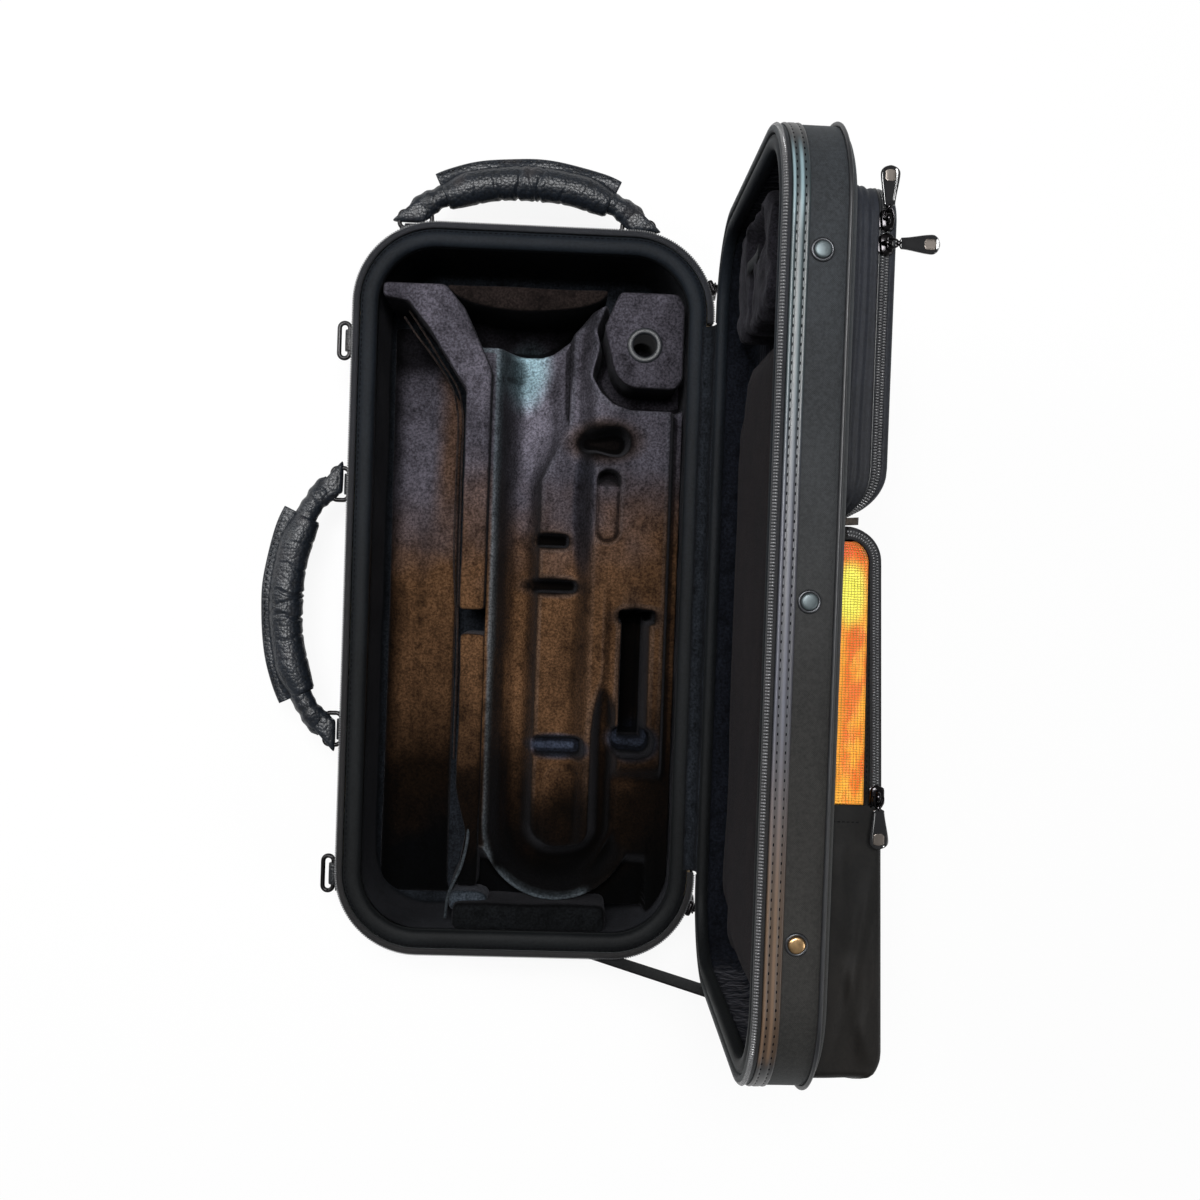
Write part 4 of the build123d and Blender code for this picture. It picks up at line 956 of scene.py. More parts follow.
# %% Velvet linings
def lining(name, finish, place, body, node, inset, top, floor, depth):
    radius = 7.0
    angles = np.linspace(0, math.pi / 2, 6)
    wall = [(inset, h) for h in np.linspace(top - 1.0, floor + radius, 12, endpoint=False)]
    turn = [(inset + radius * (1 - math.cos(a)), floor + radius * (1 - math.sin(a))) for a in angles]
    profile = [(inset - 3.0, top), (inset - 1.0, top), *wall, *turn, (34.0, floor),
               (corner_radius - 3.0, floor)]

    def puff(along, height):
        fold = np.sin(along / 11.0 + 1.3 * np.sin(along / 41.0))
        fold = fold * np.sin((height - floor) / (top - floor) * math.pi)
        return np.where(height > floor + 1.0, -depth * 0.5 * (fold + 1.0) - quilt(along, height, 47.0, 0.5),
                        0.0)

    outline = Outline(half_width, half_length, corner_radius, step=3.5)
    pattern = band_round(outline, profile, place, closed=False, puff=puff)
    pattern.cap(outline.sweep(profile[-1:], place)[:, 0], turn=place is on_base)
    pattern.make(name, finish, "velvet", body, (node,), weld=0.01)


lining("base_velvet", lining_velvet, on_base, "base", "base_lining", 16.0, -10.3, 13.4 - rim_z, 1.1)
lining("lid_velvet", lid_lining_velvet, on_lid, "lid", "lid_lining", 11.8, -8.3, 9.8 - lid_deep, 0.9)

# %% [markdown]
# The glossy strip is sewn round the lid just under the zip. Two rows of stitches pull it down, and
# between them the film swells. The swelling is in the section, and the stitches are small dark
# threads laid in each row.

# %% Glossy strip, its two rows of stitches
strip_wide = 9.8
strip_top = -5.2
strip_thick = 0.8
stitch_pitch = 4.9


def strip_section():
    across = np.linspace(0, strip_wide, 23)
    dips = sum(np.exp(-((across - row) / 0.55) ** 2) for row in strip_rows)
    edge = np.minimum(across, strip_wide - across)
    rise = strip_thick * np.clip(edge / 0.7, 0, 1) ** 0.5 * (1 - 0.55 * np.minimum(dips, 1.0))
    outer = [(-0.2 - r, strip_top - a) for a, r in zip(across, rise)]
    return outer + [(-0.1, strip_top - strip_wide), (-0.1, strip_top)]


band_round(zip_outline, strip_section(), on_lid).make(
    "lid_strip", strip_film, "band_vinyl", "lid", ("lid_band",), weld=0.01)
for count, row in enumerate(strip_rows):
    places, along, out, rise = frames_along(zip_outline, stitch_pitch, -0.52, strip_top - row, on_lid, 3.0)
    holes = teeth(Pattern(), places, rise, along, out, 2.1, length=1.6, height=0.22)
    holes.make(f"lid_strip_stitches_{count + 1}", seam_thread, "band_vinyl", "lid")
print("strip sewn with", len(places), "stitches a row")

# %% [markdown]
# Turned things, such as studs, rivets and the socket's ring, are made by spinning a profile about
# an axis. A stud is a flat ring with a cap standing in it. The lowest one has lost its dark plating.

# %% Studs and rivets
def spin(profile, centre, axis, steps=32):
    """A turned solid. The profile is (radius, height) points from the middle out."""
    axis = Vector(axis).normalized()
    side = axis.orthogonal().normalized()
    other = axis.cross(side)
    grid = []
    for angle in np.linspace(0, 2 * math.pi, steps, endpoint=False):
        way = np.array(side) * math.cos(angle) + np.array(other) * math.sin(angle)
        grid.append([np.array(centre) + way * r + np.array(axis) * h for r, h in profile])
    return Pattern().grid(np.array(grid), ring=True)


def dome(radius, height, start=0.0, steps=6):
    """Profile points of a low dome, from its middle to its edge."""
    angles = np.linspace(0, math.pi / 2, steps)
    return [(radius * math.sin(a) + 1e-3, start + height * math.cos(a)) for a in angles]


stud_places = (190.6, 4.5, -178.6)
stud_x = (box_of("lid_studs")[0][0] + box_of("lid_studs")[1][0]) / 2
stud_z = rim_z + 2 * half_width + 0.2
stud_ring = [(4.4, 0.3), (4.9, 0.9), (5.6, 1.1), (6.2, 0.8), (6.5, 0.1)]
stud_cap = dome(4.2, 0.5, 1.9) + [(4.6, 1.5), (4.6, 0.4)]
for count, y in enumerate(stud_places):
    ring = spin(stud_ring, (stud_x, y, stud_z), (0, 0, 1))
    ring.make(f"stud_ring_{count + 1}", rivet_metal, "rivet_metal", "lid", weld=0.001)
    cap = spin(stud_cap, (stud_x, y, stud_z), (0, 0, 1))
    finish = brass_cap if y == min(stud_places) else stud_metal
    nodes = ("lid_studs",) if count == 0 else ()
    cap.make(f"stud_cap_{count + 1}", finish, "rivet_metal", "lid", nodes, weld=0.002)
print(len(stud_places), "studs set")

# %% [markdown]
# The trumpet lies in a moulded cradle: foam pressed under velvet. A mould leaves no undercuts and no
# sharp corners, so the whole cradle can be one height for each x and y. It is built up like a relief
# map. A smooth step joins two levels, a signed distance says how far a point is from a shape, and
# `sink` presses that shape in. The trumpet's own outline gives the shapes: bell, tube, bow, valves.

# %% Soft steps and pressed shapes
def step(value, low, high):
    """0 up to low, 1 from high, smooth between."""
    share = np.clip((value - low) / (high - low), 0.0, 1.0)
    return share * share * (3.0 - 2.0 * share)


def slab(x, y, left, right, low, high, corner):
    """Distance from a rounded rectangle, negative inside it."""
    across = abs(x - (left + right) / 2) - ((right - left) / 2 - corner)
    along = abs(y - (low + high) / 2) - ((high - low) / 2 - corner)
    outside = np.hypot(np.maximum(across, 0.0), np.maximum(along, 0.0))
    return outside + np.minimum(np.maximum(across, along), 0.0) - corner


def from_outline(x, y, points):
    """Distance from a polygon, negative inside it."""
    points = np.asarray(points, float)
    best = np.full(np.shape(x), 1e9)
    inside = np.zeros(np.shape(x), bool)
    for (ax, ay), (bx, by) in zip(points, np.roll(points, -1, axis=0)):
        run, rise = bx - ax, by - ay
        share = np.clip(((x - ax) * run + (y - ay) * rise) / (run * run + rise * rise), 0.0, 1.0)
        best = np.minimum(best, np.hypot(x - ax - share * run, y - ay - share * rise))
        crosses = ((ay > y) != (by > y)) & (x < run * (y - ay) / (rise or 1e-9) + ax)
        inside ^= crosses
    return np.where(inside, -best, best)


def sink(z, field, floor, soft=1.5):
    """Presses a shape down to a floor, with a soft wall round it."""
    return np.where(z > floor, floor + (z - floor) * step(field, -soft, soft), z)


def lower_of(first, second, soft):
    """The lower of two surfaces, with the crease between them rounded."""
    share = np.clip(0.5 + (second - first) / (2 * soft), 0.0, 1.0)
    return second + (first - second) * share - soft * share * (1.0 - share)


# %% [markdown]
# The levels, from the rim down: the ridge and the mouthpiece block, the deck beside the hinge, the
# well under the valves, the trough for the bell tube and the pocket for the bell itself.

# %% The cradle's relief
raised_top = 97.0
deck_top = 90.0
well_floor = 72.0
insert_floor = 13.6
bow_middle = (29.5, -180.0)
bow_radius = 34.5
mouthpiece_edge = ((61.0, 223.0), (64.5, 231.0), (108.5, 231.0), (114.0, 223.0), (114.0, 165.7),
                   (108.5, 158.2), (78.0, 158.2), (70.5, 160.6), (64.6, 166.0), (60.4, 174.0), (58.6, 183.0),
                   (52.9, 202.7))
bell_edge = ((-52.0, -27.0, 5.5, 14.5, 28.5, 44.5, 57.0, 60.0),
             (189.0, 189.0, 189.0, 191.5, 201.5, 219.0, 224.5, 225.0))
slots = (   # left, right, low, high and corner of each, its floor and its softness
    (7.0, 31.0, 37.0, 45.5, 2.5, 55.0, 1.8),
    (1.0, 38.0, 1.6, 10.0, 3.0, 55.0, 1.8),
    (8.5, 47.0, -125.5, -112.0, 4.0, 63.0, 2.2),
)
island = (17.0, 41.0, -199.0, -134.0, 10.0)
finger_hole = (38.0, 75.0, 110.0, 126.0, 8.0)
pencil_slot = (52.0, 70.0, 41.0, 96.0, 8.9)
key_head = (72.0, 101.0, -21.0, -10.5, 2.5)
key_shaft = (75.5, 95.0, -112.0, -14.0, 2.0)
key_foot = (69.0, 101.0, -123.0, -101.0, 9.5)


def cradle_height(x, y):
    below = np.minimum(y - bow_middle[1], 0.0)
    ring = np.hypot(x - bow_middle[0], below) - bow_radius
    angle = np.degrees(np.arctan2(x - bow_middle[0], 1e-6 - below))
    z = well_floor + (deck_top - well_floor) * step(x, 36.0, 53.0)
    z = z - 5.0 * step(x, 60.0, 66.0) * (1.0 - step(x, 70.0, 76.0)) * step(-y, -30.0, 20.0)
    z = z - 15.0 * step(-y, 128.0, 146.0) * step(x, 62.0, 74.0)
    z = sink(z, 108.5 - x, 74.0, 2.5)
    # The tube's trough, the bow and the fading right leg.
    flare = np.minimum(0.45 * np.maximum(y - 88.0, 0.0), 36.0) * (x > -5.0)
    to_right = step(angle, 10.0, 86.0)
    half = 14.0 - 5.0 * to_right + flare
    floor = 49.0 + 12.0 * to_right - 9.0 * np.exp(-(angle / 52.0) ** 2) - 4.0 * step(y, 110.0, 190.0)
    fade = 42.0 * step(y, -112.0, -36.0) * step(x, 29.0, 42.0)
    trough = floor + 21.0 * (ring / half) ** 2 + fade
    lip = 63.0 + 21.0 * step(ring, 9.0, 22.5) - 4.0 * step(-y, 34.0, 60.0)
    lip = lip - 24.0 * step(ring, 22.5, 27.0) * step(-y, 196.0, 214.0)
    outside = step(ring, 2.0, 9.0) * (1.0 - step(angle, 62.0, 88.0)) * (x < 100.0)
    z = z * (1.0 - outside) + lip * outside
    z = lower_of(z, trough, 5.0)
    # The island's lobe, and the slots across it.
    z = z + 2.4 * (1.0 - step(slab(x, y, *island), -3.0, 2.0))
    for *sides, corner, bottom, soft in slots:
        z = sink(z, slab(x, y, *sides, corner), bottom, soft)
    # The bell's pocket, with a tongue of deck left beside it.
    z = sink(z, np.interp(x, *bell_edge) - y, 21.0, 2.4)
    # The deck's recesses.
    z = sink(z, slab(x, y, *finger_hole) + 1.5 * np.sin(x / 6.0), 62.0, 3.2)
    z = sink(z, slab(x, y, *pencil_slot), 85.5 - 18.0 * step(y, 82.0, 95.0), 1.3)
    z = sink(z, slab(x, y, *key_head) + 0.10 * abs(x - 86.0), 40.0, 1.6)
    z = sink(z, slab(x, y, *key_shaft), 32.0 + 40.0 * step(x, 92.6, 95.0), 1.3)
    z = sink(z, slab(x, y, *key_foot), 66.0 - 5.0 * step(-x, -92.0, -80.0), 2.0)
    # The moat round the mouthpiece block.
    moat = 3.2 + 10.5 * (1.0 - step(y, 166.0, 196.0))
    z = sink(z, from_outline(x, y, mouthpiece_edge) - moat, 38.0, 2.2)
    grain = np.sin(x / 13.0 + 0.6 * np.sin(y / 19.0)) * np.sin(y / 23.0 + 0.8 * np.sin(x / 17.0))
    return z + 0.45 * grain


# %% [markdown]
# The field is sampled in rows that run from the ridge to the hinge wall, so both long edges stay
# smooth curves. Where the relief bulges the velvet gets a painted highlight, and where it is hollow
# it gets painted shade. The difference between the relief and a blurred copy of it tells the
# two apart, and goes to the finish as the piece's thread place.

# %% The cradle
def cradle_left(y):
    """The edge beside the ridge."""
    return np.interp(y, (-246.0, 166.0, 214.0, 227.0), (-30.2, -30.2, -52.2, -52.2))


def cradle_right(y):
    """The edge at the hinge wall, rounded with the case's corners."""
    over = np.maximum(abs(y) - 213.0, 0.0)
    return 73.0 + np.sqrt(np.maximum(43.7 ** 2 - over ** 2, 0.0))


def blurred(field, reach):
    """A field averaged over neighbours this many samples away."""
    for axis in (0, 1):
        pad = [(reach, reach) if k == axis else (0, 0) for k in (0, 1)]
        sums = np.cumsum(np.pad(field, pad, mode="edge"), axis=axis)
        sums = np.insert(sums, 0, 0.0, axis=axis)
        width = 2 * reach + 1
        upper = sums.take(range(width, sums.shape[axis]), axis)
        field = (upper - sums.take(range(sums.shape[axis] - width), axis)) / width
    return field


def relief_sheet(name, left, right, low, high, height, finish, slot, body, nodes, pitch=1.3,
                 skirt=insert_floor):
    """A height field with a skirt, between two edges that may curve."""
    y = np.linspace(low, high, int((high - low) / pitch))
    share = np.linspace(0.0, 1.0, int((right(0.0) - left(0.0)) / pitch))
    x = left(y)[:, None] + (right(y) - left(y))[:, None] * share
    y = np.broadcast_to(y[:, None], x.shape)
    z = height(x, y)
    bulge = np.clip((z - blurred(blurred(z, 2), 2)) / 2.2, -1.0, 1.0)
    sheet = np.stack([x, y, z], -1)
    pattern = Pattern()
    rows, columns = z.shape
    i, j = (k.ravel() for k in np.meshgrid(np.arange(rows - 1), np.arange(columns - 1), indexing="ij"))
    corners = [(i, j), (i, j + 1), (i + 1, j + 1), (i + 1, j)]
    faces = np.stack([a * columns + b for a, b in corners], 1)
    threads = np.stack([np.stack([bulge[a, b], z[a, b] * 0.01], 1) for a, b in corners], 1)
    pattern.add(sheet, faces, threads)
    for edge, turn in ((sheet[0], 0), (sheet[-1], 1), (sheet[:, 0], 1), (sheet[:, -1], 0)):
        foot = edge.copy()
        foot[:, 2] = skirt
        wall = np.stack([foot, edge], 1)
        count = len(edge)
        square = [(k * 2, k * 2 + 2, k * 2 + 3, k * 2 + 1) for k in range(count - 1)]
        square = [face[::-1] for face in square] if turn else square
        pattern.add(wall, square, np.full((count - 1, 4, 2), -0.3))
    return pattern.make(name, finish, slot, body, nodes, weld=0.02)


cradle_velvet = velvet("cradle velvet", depth=0.7, rims=True, deep=(0.020, 0.054), sheen=0.05)
relief_sheet("cradle", cradle_left, cradle_right, -245.5, 226.8, cradle_height,
             cradle_velvet, "velvet_foam", "base", [n for n in frame["nodes"] if "cradle" in n])
print("cradle pressed")

# %% [markdown]
# The other foam pieces are cut blocks with velvet drawn tightly over them. A plain prism gets its
# upper edges rounded, then a voxel remesh and some smoothing turn it into one soft skin, and a slow
# noise leaves the surface slightly uneven, as glue under cloth does.

# %% Foam blocks
def prism(name, points, low, high, rounding, segments=3):
    """An upright block through points, rounded along its top and its corners."""
    mesh = bpy.data.meshes.new(name)
    with reworked(mesh) as edit:
        ring = [edit.verts.new((x * mm, y * mm, low * mm)) for x, y in points]
        lifted = bmesh.ops.extrude_face_region(edit, geom=[edit.faces.new(ring)])["geom"]
        for vert in (v for v in lifted if isinstance(v, bmesh.types.BMVert)):
            vert.co.z = high * mm
        edges = [e for e in edit.edges if max(v.co.z for v in e.verts) > (low + 0.1) * mm]
        bmesh.ops.bevel(edit, geom=edges, offset=rounding * mm, segments=segments, profile=0.55,
                        affect="EDGES", clamp_overlap=True)
        bmesh.ops.recalc_face_normals(edit, faces=edit.faces)
    return new_piece(name, mesh)


def remeshed(piece, voxel):
    """One even skin over a piece."""
    bpy.context.view_layer.objects.active = piece
    piece.data.remesh_voxel_size = voxel * mm
    bpy.ops.object.voxel_remesh()
    return piece


def softened(piece, rounds, uneven=0.0, scale=0.03, seed=0.0):
    """Smooths a skin, then lets a slow noise lift it along its normals."""
    with reworked(piece.data) as edit:
        for _ in range(rounds):
            bmesh.ops.smooth_vert(edit, verts=edit.verts, factor=0.5, use_axis_x=True, use_axis_y=True,
                                  use_axis_z=True)
        edit.normal_update()
        if uneven:
            lift = [noise.noise(v.co / mm * scale + Vector((seed, 0, 0))) * uneven * mm for v in edit.verts]
            for vert, rise in zip(edit.verts, lift):
                vert.co += vert.normal * rise
    return evenly_lit(piece)


def evenly_lit(piece, smooth=True):
    piece.data.polygons.foreach_set("use_smooth", [smooth] * len(piece.data.polygons))
    return piece


def dress(piece, finish, body, nodes=()):
    """Gives a piece its finish and hangs it."""
    piece.data.materials.clear()
    piece.data.materials.append(finish)
    hang(piece, body, nodes)
    return piece


def foam(name, points, low, high, rounding, node=None, voxel=1.7, uneven=0.5, finish=foam_velvet,
         rounds=4):
    skin = remeshed(prism(name, points, low, high, rounding), voxel)
    piece = softened(skin, rounds, uneven, seed=len(name))
    return dress(piece, finish, "base", (node,) if node else ())


ridge_edge = ((-114.5, 231.0), (-67.5, 231.0), (-52.5, 214.0), (-30.5, 168.0), (-30.5, -14.0), (-49.5, -14.0),
              (-49.5, 152.0), (-79.5, 198.0), (-95.5, 217.0), (-114.5, 220.0))
lower_ridge_edge = ((-49.5, -33.0), (-30.5, -33.0), (-30.5, -230.0), (-47.5, -230.0), (-41.5, -188.0),
                    (-49.5, -153.0))
foam("ridge", ridge_edge, insert_floor, raised_top, 2.6, "divider_ridge")
foam("ridge_low", lower_ridge_edge, insert_floor, 77.0, 2.6, "divider_lower", rounds=6, uneven=1.2)
plug_edge = [(-5.5 - 61.0 * math.cos(t), 231.0 - 18.0 * math.sin(t)) for t in np.linspace(0.0, math.pi, 25)]
end_block_edge = ((-48.5, -259.0), (69.5, -259.0), (69.5, -238.2), (-48.5, -238.2))
shoe_edge = ((-52.0, -247.0), (-19.5, -247.0), (-21.0, -233.0), (-30.0, -230.5), (-52.0, -231.5))
foam("bell_plug_pad", plug_edge, insert_floor, raised_top - 1.0, 3.5, "bell_plug", uneven=0.9,
     finish=plug_velvet)
foam("end_block_pad", end_block_edge, insert_floor, 94.5, 5.0, "end_block", uneven=1.0, rounds=8,
     finish=end_velvet)
foam("shoe", shoe_edge, 60.0, 84.0, 5.0, uneven=1.5, rounds=8, voxel=1.4, finish=shoe_velvet)
print("ridge, bell plug and end block covered")

# %% [markdown]
# The mouthpiece block has a bore, so it is made with a hole: a cylinder is cut out of its skin by a
# Boolean after the remesh. A dark liner closes the bore, and a turned ring stands round its mouth.

# %% Mouthpiece block
block = prism("mouthpiece_foam", mouthpiece_edge, insert_floor, raised_top, 3.0)
block = softened(remeshed(block, 1.6), 5, 0.4)
bore_place = (84.2, 190.7)
drill_radius = 9.6
drill_edge = [(bore_place[0] + drill_radius * math.cos(t), bore_place[1] + drill_radius * math.sin(t))
              for t in np.linspace(0, 2 * math.pi, 48, endpoint=False)]
drill = prism("drill", drill_edge, 36.0, 120.0, 0.01, 1)
cut = block.modifiers.new("bore", "BOOLEAN")
cut.object = drill
cut.operation = "DIFFERENCE"
bpy.context.view_layer.objects.active = block
bpy.ops.object.modifier_apply(modifier="bore")
bpy.data.objects.remove(drill)
dress(block, block_velvet, "base", ("mouthpiece_block",))

liner = spin([(0.01, 37.0), (8.8, 37.0), (8.8, 95.5), (9.4, 95.5)], (*bore_place, 0.0), (0, 0, 1), 48)
liner.make("bore_liner", bore_dark, "velvet_foam", "base", weld=0.02)
lip = [(8.75, 95.4), (8.75, 97.3), (9.1, 98.1), (9.9, 98.5), (11.6, 98.5), (12.7, 98.2), (13.3, 97.6),
       (13.5, 96.6),
       (13.5, 95.0)]
spin(lip, (*bore_place, 0.0), (0, 0, 1), 64).make(
    "socket_ring", grommet_plastic, "grommet_plastic", "base", ("mouthpiece_grommet",), weld=0.002)
print("mouthpiece block bored")


# %% [markdown]
# A welted seam runs down the tray beside the ridge, where the tray's velvet meets the ridge's: two
# thin cords side by side. `tube_along` carries a round section along points, and `smooth_line` draws a
# smooth curve through them. Near the low end the seam lifts off as a thin fin of cloth with a pale edge.

# %% Seams in the tray
def smooth_line(points, spacing=1.5):
    """A smooth curve through points, as evenly spaced places."""
    points = np.asarray(points, float)
    reach = distances_of(points)
    slopes = np.gradient(points, reach, axis=0)
    wanted = np.linspace(0.0, reach[-1], max(3, int(reach[-1] / spacing)))
    k = np.clip(np.searchsorted(reach, wanted, side="right") - 1, 0, len(points) - 2)
    run = (reach[k + 1] - reach[k])[:, None]
    t = (wanted - reach[k])[:, None] / run
    first, second = points[k], points[k + 1]
    return ((2 * t ** 3 - 3 * t ** 2 + 1) * first + (t ** 3 - 2 * t ** 2 + t) * run * slopes[k]
            + (3 * t ** 2 - 2 * t ** 3) * second + (t ** 3 - t ** 2) * run * slopes[k + 1])


def frames_of(line, up):
    """Directions along a line, sideways and up at each of its points."""
    along = np.gradient(line, axis=0)
    along /= np.linalg.norm(along, axis=1)[:, None]
    side = np.cross(along, np.broadcast_to(up, line.shape))
    side /= np.linalg.norm(side, axis=1)[:, None]
    return along, side, np.cross(side, along)


def tube_along(line, section, up=(0, 0, 1), scale=None, closed=True):
    """A pattern with a section of (side, up) points carried along a line."""
    along, side, rise = frames_of(line, up)
    scale = np.ones(len(line)) if scale is None else scale
    section = np.asarray(section, float)
    ring = side[:, None] * section[:, :1] + rise[:, None] * section[:, 1:]
    grid = line[:, None] + ring * scale[:, None, None]
    reach = np.append(distances_of(line), 0.0)
    pattern = Pattern().grid(grid, reach, across_of(section), tube=closed)
    if closed:
        pattern.cap(grid[0], turn=True)
        pattern.cap(grid[-1])
    return pattern


def circle(radius, steps=10, flat=1.0):
    angles = np.linspace(0, 2 * math.pi, steps, endpoint=False)
    return [(radius * math.cos(a), radius * flat * math.sin(a)) for a in angles]


seam_velvet = velvet("seam velvet", tone=(0.040, 0.029, 0.026), depth=0.3, painted_wall_light=0.6)
fin_velvet = velvet("pale seam velvet", tone=(0.042, 0.050, 0.057), depth=0.3, painted_wall_light=0.6)
for count, (gap, high) in enumerate(((0.0, 0.0), (4.2, -3.0))):
    route = [(-98.0 - gap, 216.0 - gap, 66.0 + high), (-90.0 - gap, 205.0 - gap, 62.0 + high),
             (-74.0 - gap, 181.0, 56.0 + high), (-58.5 - gap, 156.0, 50.0 + high),
             (-56.0 - gap, 143.0, 46.0 + high), (-55.5 - gap, 100.0, 42.0 + high),
             (-55.5 - gap, 20.0, 38.0 + high), (-55.5, -50.0, 28.0 + 3 * high), (-56.5, -140.0, 15.5 + high)]
    cord = tube_along(smooth_line(route, 3.0), circle(0.8, 8))
    cord.make(f"tray_seam_{count + 1}", seam_velvet, "velvet", "base", weld=0.001)
fin_foot = 16.0
fin = smooth_line([(-49.5, -150.0, 58.0), (-43.5, -162.0, 66.0), (-38.5, -186.0, 75.0), (-42.5, -212.0, 79.0),
                   (-52.0, -236.0, 80.0), (-54.0, -254.0, 78.0)], 2.0)
tall = np.linspace(0, 1, 9)
drop = (fin[:, 2] - fin_foot)[:, None]
sheet = np.stack([fin - (0, 0, 1) * (drop * (1 - share)) for share in tall], 1)
side = frames_of(fin, (0, 0, 1))[1]
thick = side[:, None] * np.array([1.3 - 0.5 * share for share in tall])[None, :, None]
both = np.concatenate([sheet + thick, (sheet - thick)[:, ::-1]], 1)
Pattern().grid(both, tube=True).make("tray_fin", end_velvet, "velvet", "base", weld=0.01)
# The fin edge's pale slate tone is a painted highlight.
hem_cord = tube_along(fin + (0, 0, 0.2), circle(1.25, 10))
hem_cord.make("tray_fin_edge", fin_velvet, "velvet", "base", weld=0.001)
print("tray seams sewn")

# %% [markdown]
# The pads are cloth over soft foam, so their shape is left to a cloth simulation. A slightly small
# block is remeshed into an even skin, its glued underside is held, and pressure swells the rest for
# twenty frames. No point may move further than a cap. Then the result is kept as plain mesh.

# %% Stuffed pads
def stuffed(piece, cap, held_below, voxel=5.0, pressure=4.0):
    """Swells a block with the cloth solver; points below a height stay where they are."""
    remeshed(piece, voxel)
    start = np.array([v.co for v in piece.data.vertices])
    held = piece.vertex_groups.new(name="held")
    held.add([i for i, v in enumerate(start) if v[2] < held_below * mm], 1.0, "REPLACE")
    cloth = piece.modifiers.new("stuffing", "CLOTH")
    cloth.settings.use_pressure = True
    cloth.settings.uniform_pressure_force = pressure
    cloth.settings.effector_weights.gravity = 0.0
    cloth.settings.vertex_group_mass = "held"
    for number in range(1, 21):
        bpy.context.scene.frame_set(number)
    swollen = piece.evaluated_get(bpy.context.evaluated_depsgraph_get()).to_mesh()
    moved = np.array([v.co for v in swollen.vertices]) - start
    piece.modifiers.remove(cloth)
    bpy.context.scene.frame_set(1)
    far = np.linalg.norm(moved, axis=1)[:, None]
    moved *= np.minimum(1.0, cap * mm / np.maximum(far, 1e-9))
    piece.data.vertices.foreach_set("co", (start + moved).ravel())
    piece.vertex_groups.clear()
    evenly_lit(piece)
    smooth = piece.modifiers.new("fine", "SUBSURF")
    smooth.levels = smooth.render_levels = 1
    return piece


def stand_on_lid(piece):
    """Turns a pad made flat, its height measured from the rim, to stand in the open lid."""
    with reworked(piece.data) as edit:
        for vert in edit.verts:
            x, y, z = vert.co / mm
            vert.co = Vector(on_lid(x, y, z).tolist()) * mm
        bmesh.ops.recalc_face_normals(edit, faces=edit.faces)
    return piece


def sheet_points(left, right, low, high, cut):
    """A rectangle with cut corners."""
    return ((left + cut, low), (right - cut, low), (right, low + cut), (right, high - cut),
            (right - cut, high), (left + cut, high), (left, high - cut), (left, low + cut))


pad = prism("lid_back_pad", sheet_points(-106.0, 106.0, -248.0, 168.0, 30.0), -31.4, -18.0, 3.0)
stuffed(pad, 4.0, -28.0, voxel=6.0)
dress(stand_on_lid(pad), lid_velvet, "lid", ("lid_pad",))

tray_edge = ((-114.5, -250.0), (-56.0, -250.0), (-56.0, 148.0), (-84.0, 192.0), (-99.0, 213.0),
             (-114.5, 213.0))
pad = prism("tray_pad", tray_edge, 13.4, 17.6, 1.2)
stuffed(pad, 3.0, 14.5, voxel=5.0)
tray_velvet = velvet("tray velvet", depth=0.8, tray=True, painted_wall_light=0.5)
dress(pad, tray_velvet, "base", ("tray_floor_pad",))
print("pads stuffed")


# %% [markdown]
# High in the lid sits a thicker pad that presses on the bell. Its maker cut a hollow in it and drew
# the velvet down into the hollow by hand, so it is lumpy: the hollow is a hole with a ragged lip, a
# fold runs down from it, and its low edge was trimmed roughly. The skin is remeshed finely, and each
# of those is a push on its points.

# %% The lumpy pad in the lid
hollow_sides = (-16.0, 48.0, 224.0, 250.0, 8.0)
fold_x = 26.0


def lump(x, y, scale, seed):
    return noise.noise(Vector((x * scale, y * scale, seed)))


def press_hollow(piece):
    with reworked(piece.data) as edit:
        for vert in edit.verts:
            x, y, z = vert.co / mm
            upper = max(0.0, min(1.0, (z + 26.0) / 14.0))
            hollow = float(slab(x, y, *hollow_sides)) + 2.5 * lump(x, y, 0.12, 3.0)
            deep = float(step(-hollow, -2.0, 5.0))
            fold = math.exp(-((x - fold_x - 5.0 * lump(x, y, 0.05, 1.0)) / 3.4) ** 2)
            fold *= float(step(-y, -222.0, -214.0))
            fold *= 1.0 - float(step(-y, -196.0, -186.0))
            z -= upper * (15.0 * deep + 5.0 * fold)
            z += upper * (1.0 - deep) * (2.6 * lump(x, y, 0.055, 7.0) + 1.0 * lump(x, y, 0.16, 9.0))
            ragged = 4.5 * lump(x, 0.0, 0.10, 5.0) + 2.0 * lump(x, 0.0, 0.3, 6.0)
            y += float(step(-y, -196.0, -180.0)) * ragged
            vert.co = Vector((x, y, z)) * mm


block = prism("lid_bell_pad", sheet_points(-40.0, 85.0, 180.0, 257.0, 12.0), -31.4, -9.5, 5.0)
remeshed(block, 1.7)
press_hollow(block)
softened(block, 3)
dress(stand_on_lid(block), bell_pad_velvet, "lid", ("lid_pad_block",))

tongue = [(-12.0, 250.0), (10.0, 250.5), (30.0, 249.0)]
route = [on_lid(x, y - 27.0, -9.0 - 1.2 * math.sin(x / 6.0)) for x, y in tongue]
tongue_section = [(-4.0, -0.7), (4.0, -0.7), (4.2, 0.0), (4.0, 0.7), (-4.0, 0.7), (-4.2, 0.0)]
tongue_strap = tube_along(smooth_line(route, 1.5), tongue_section, up=(-1, 0, 0))
tongue_strap.make("hollow_webbing", webbing, "velvet_foam", "lid", weld=0.001)
print("bell pad pressed")

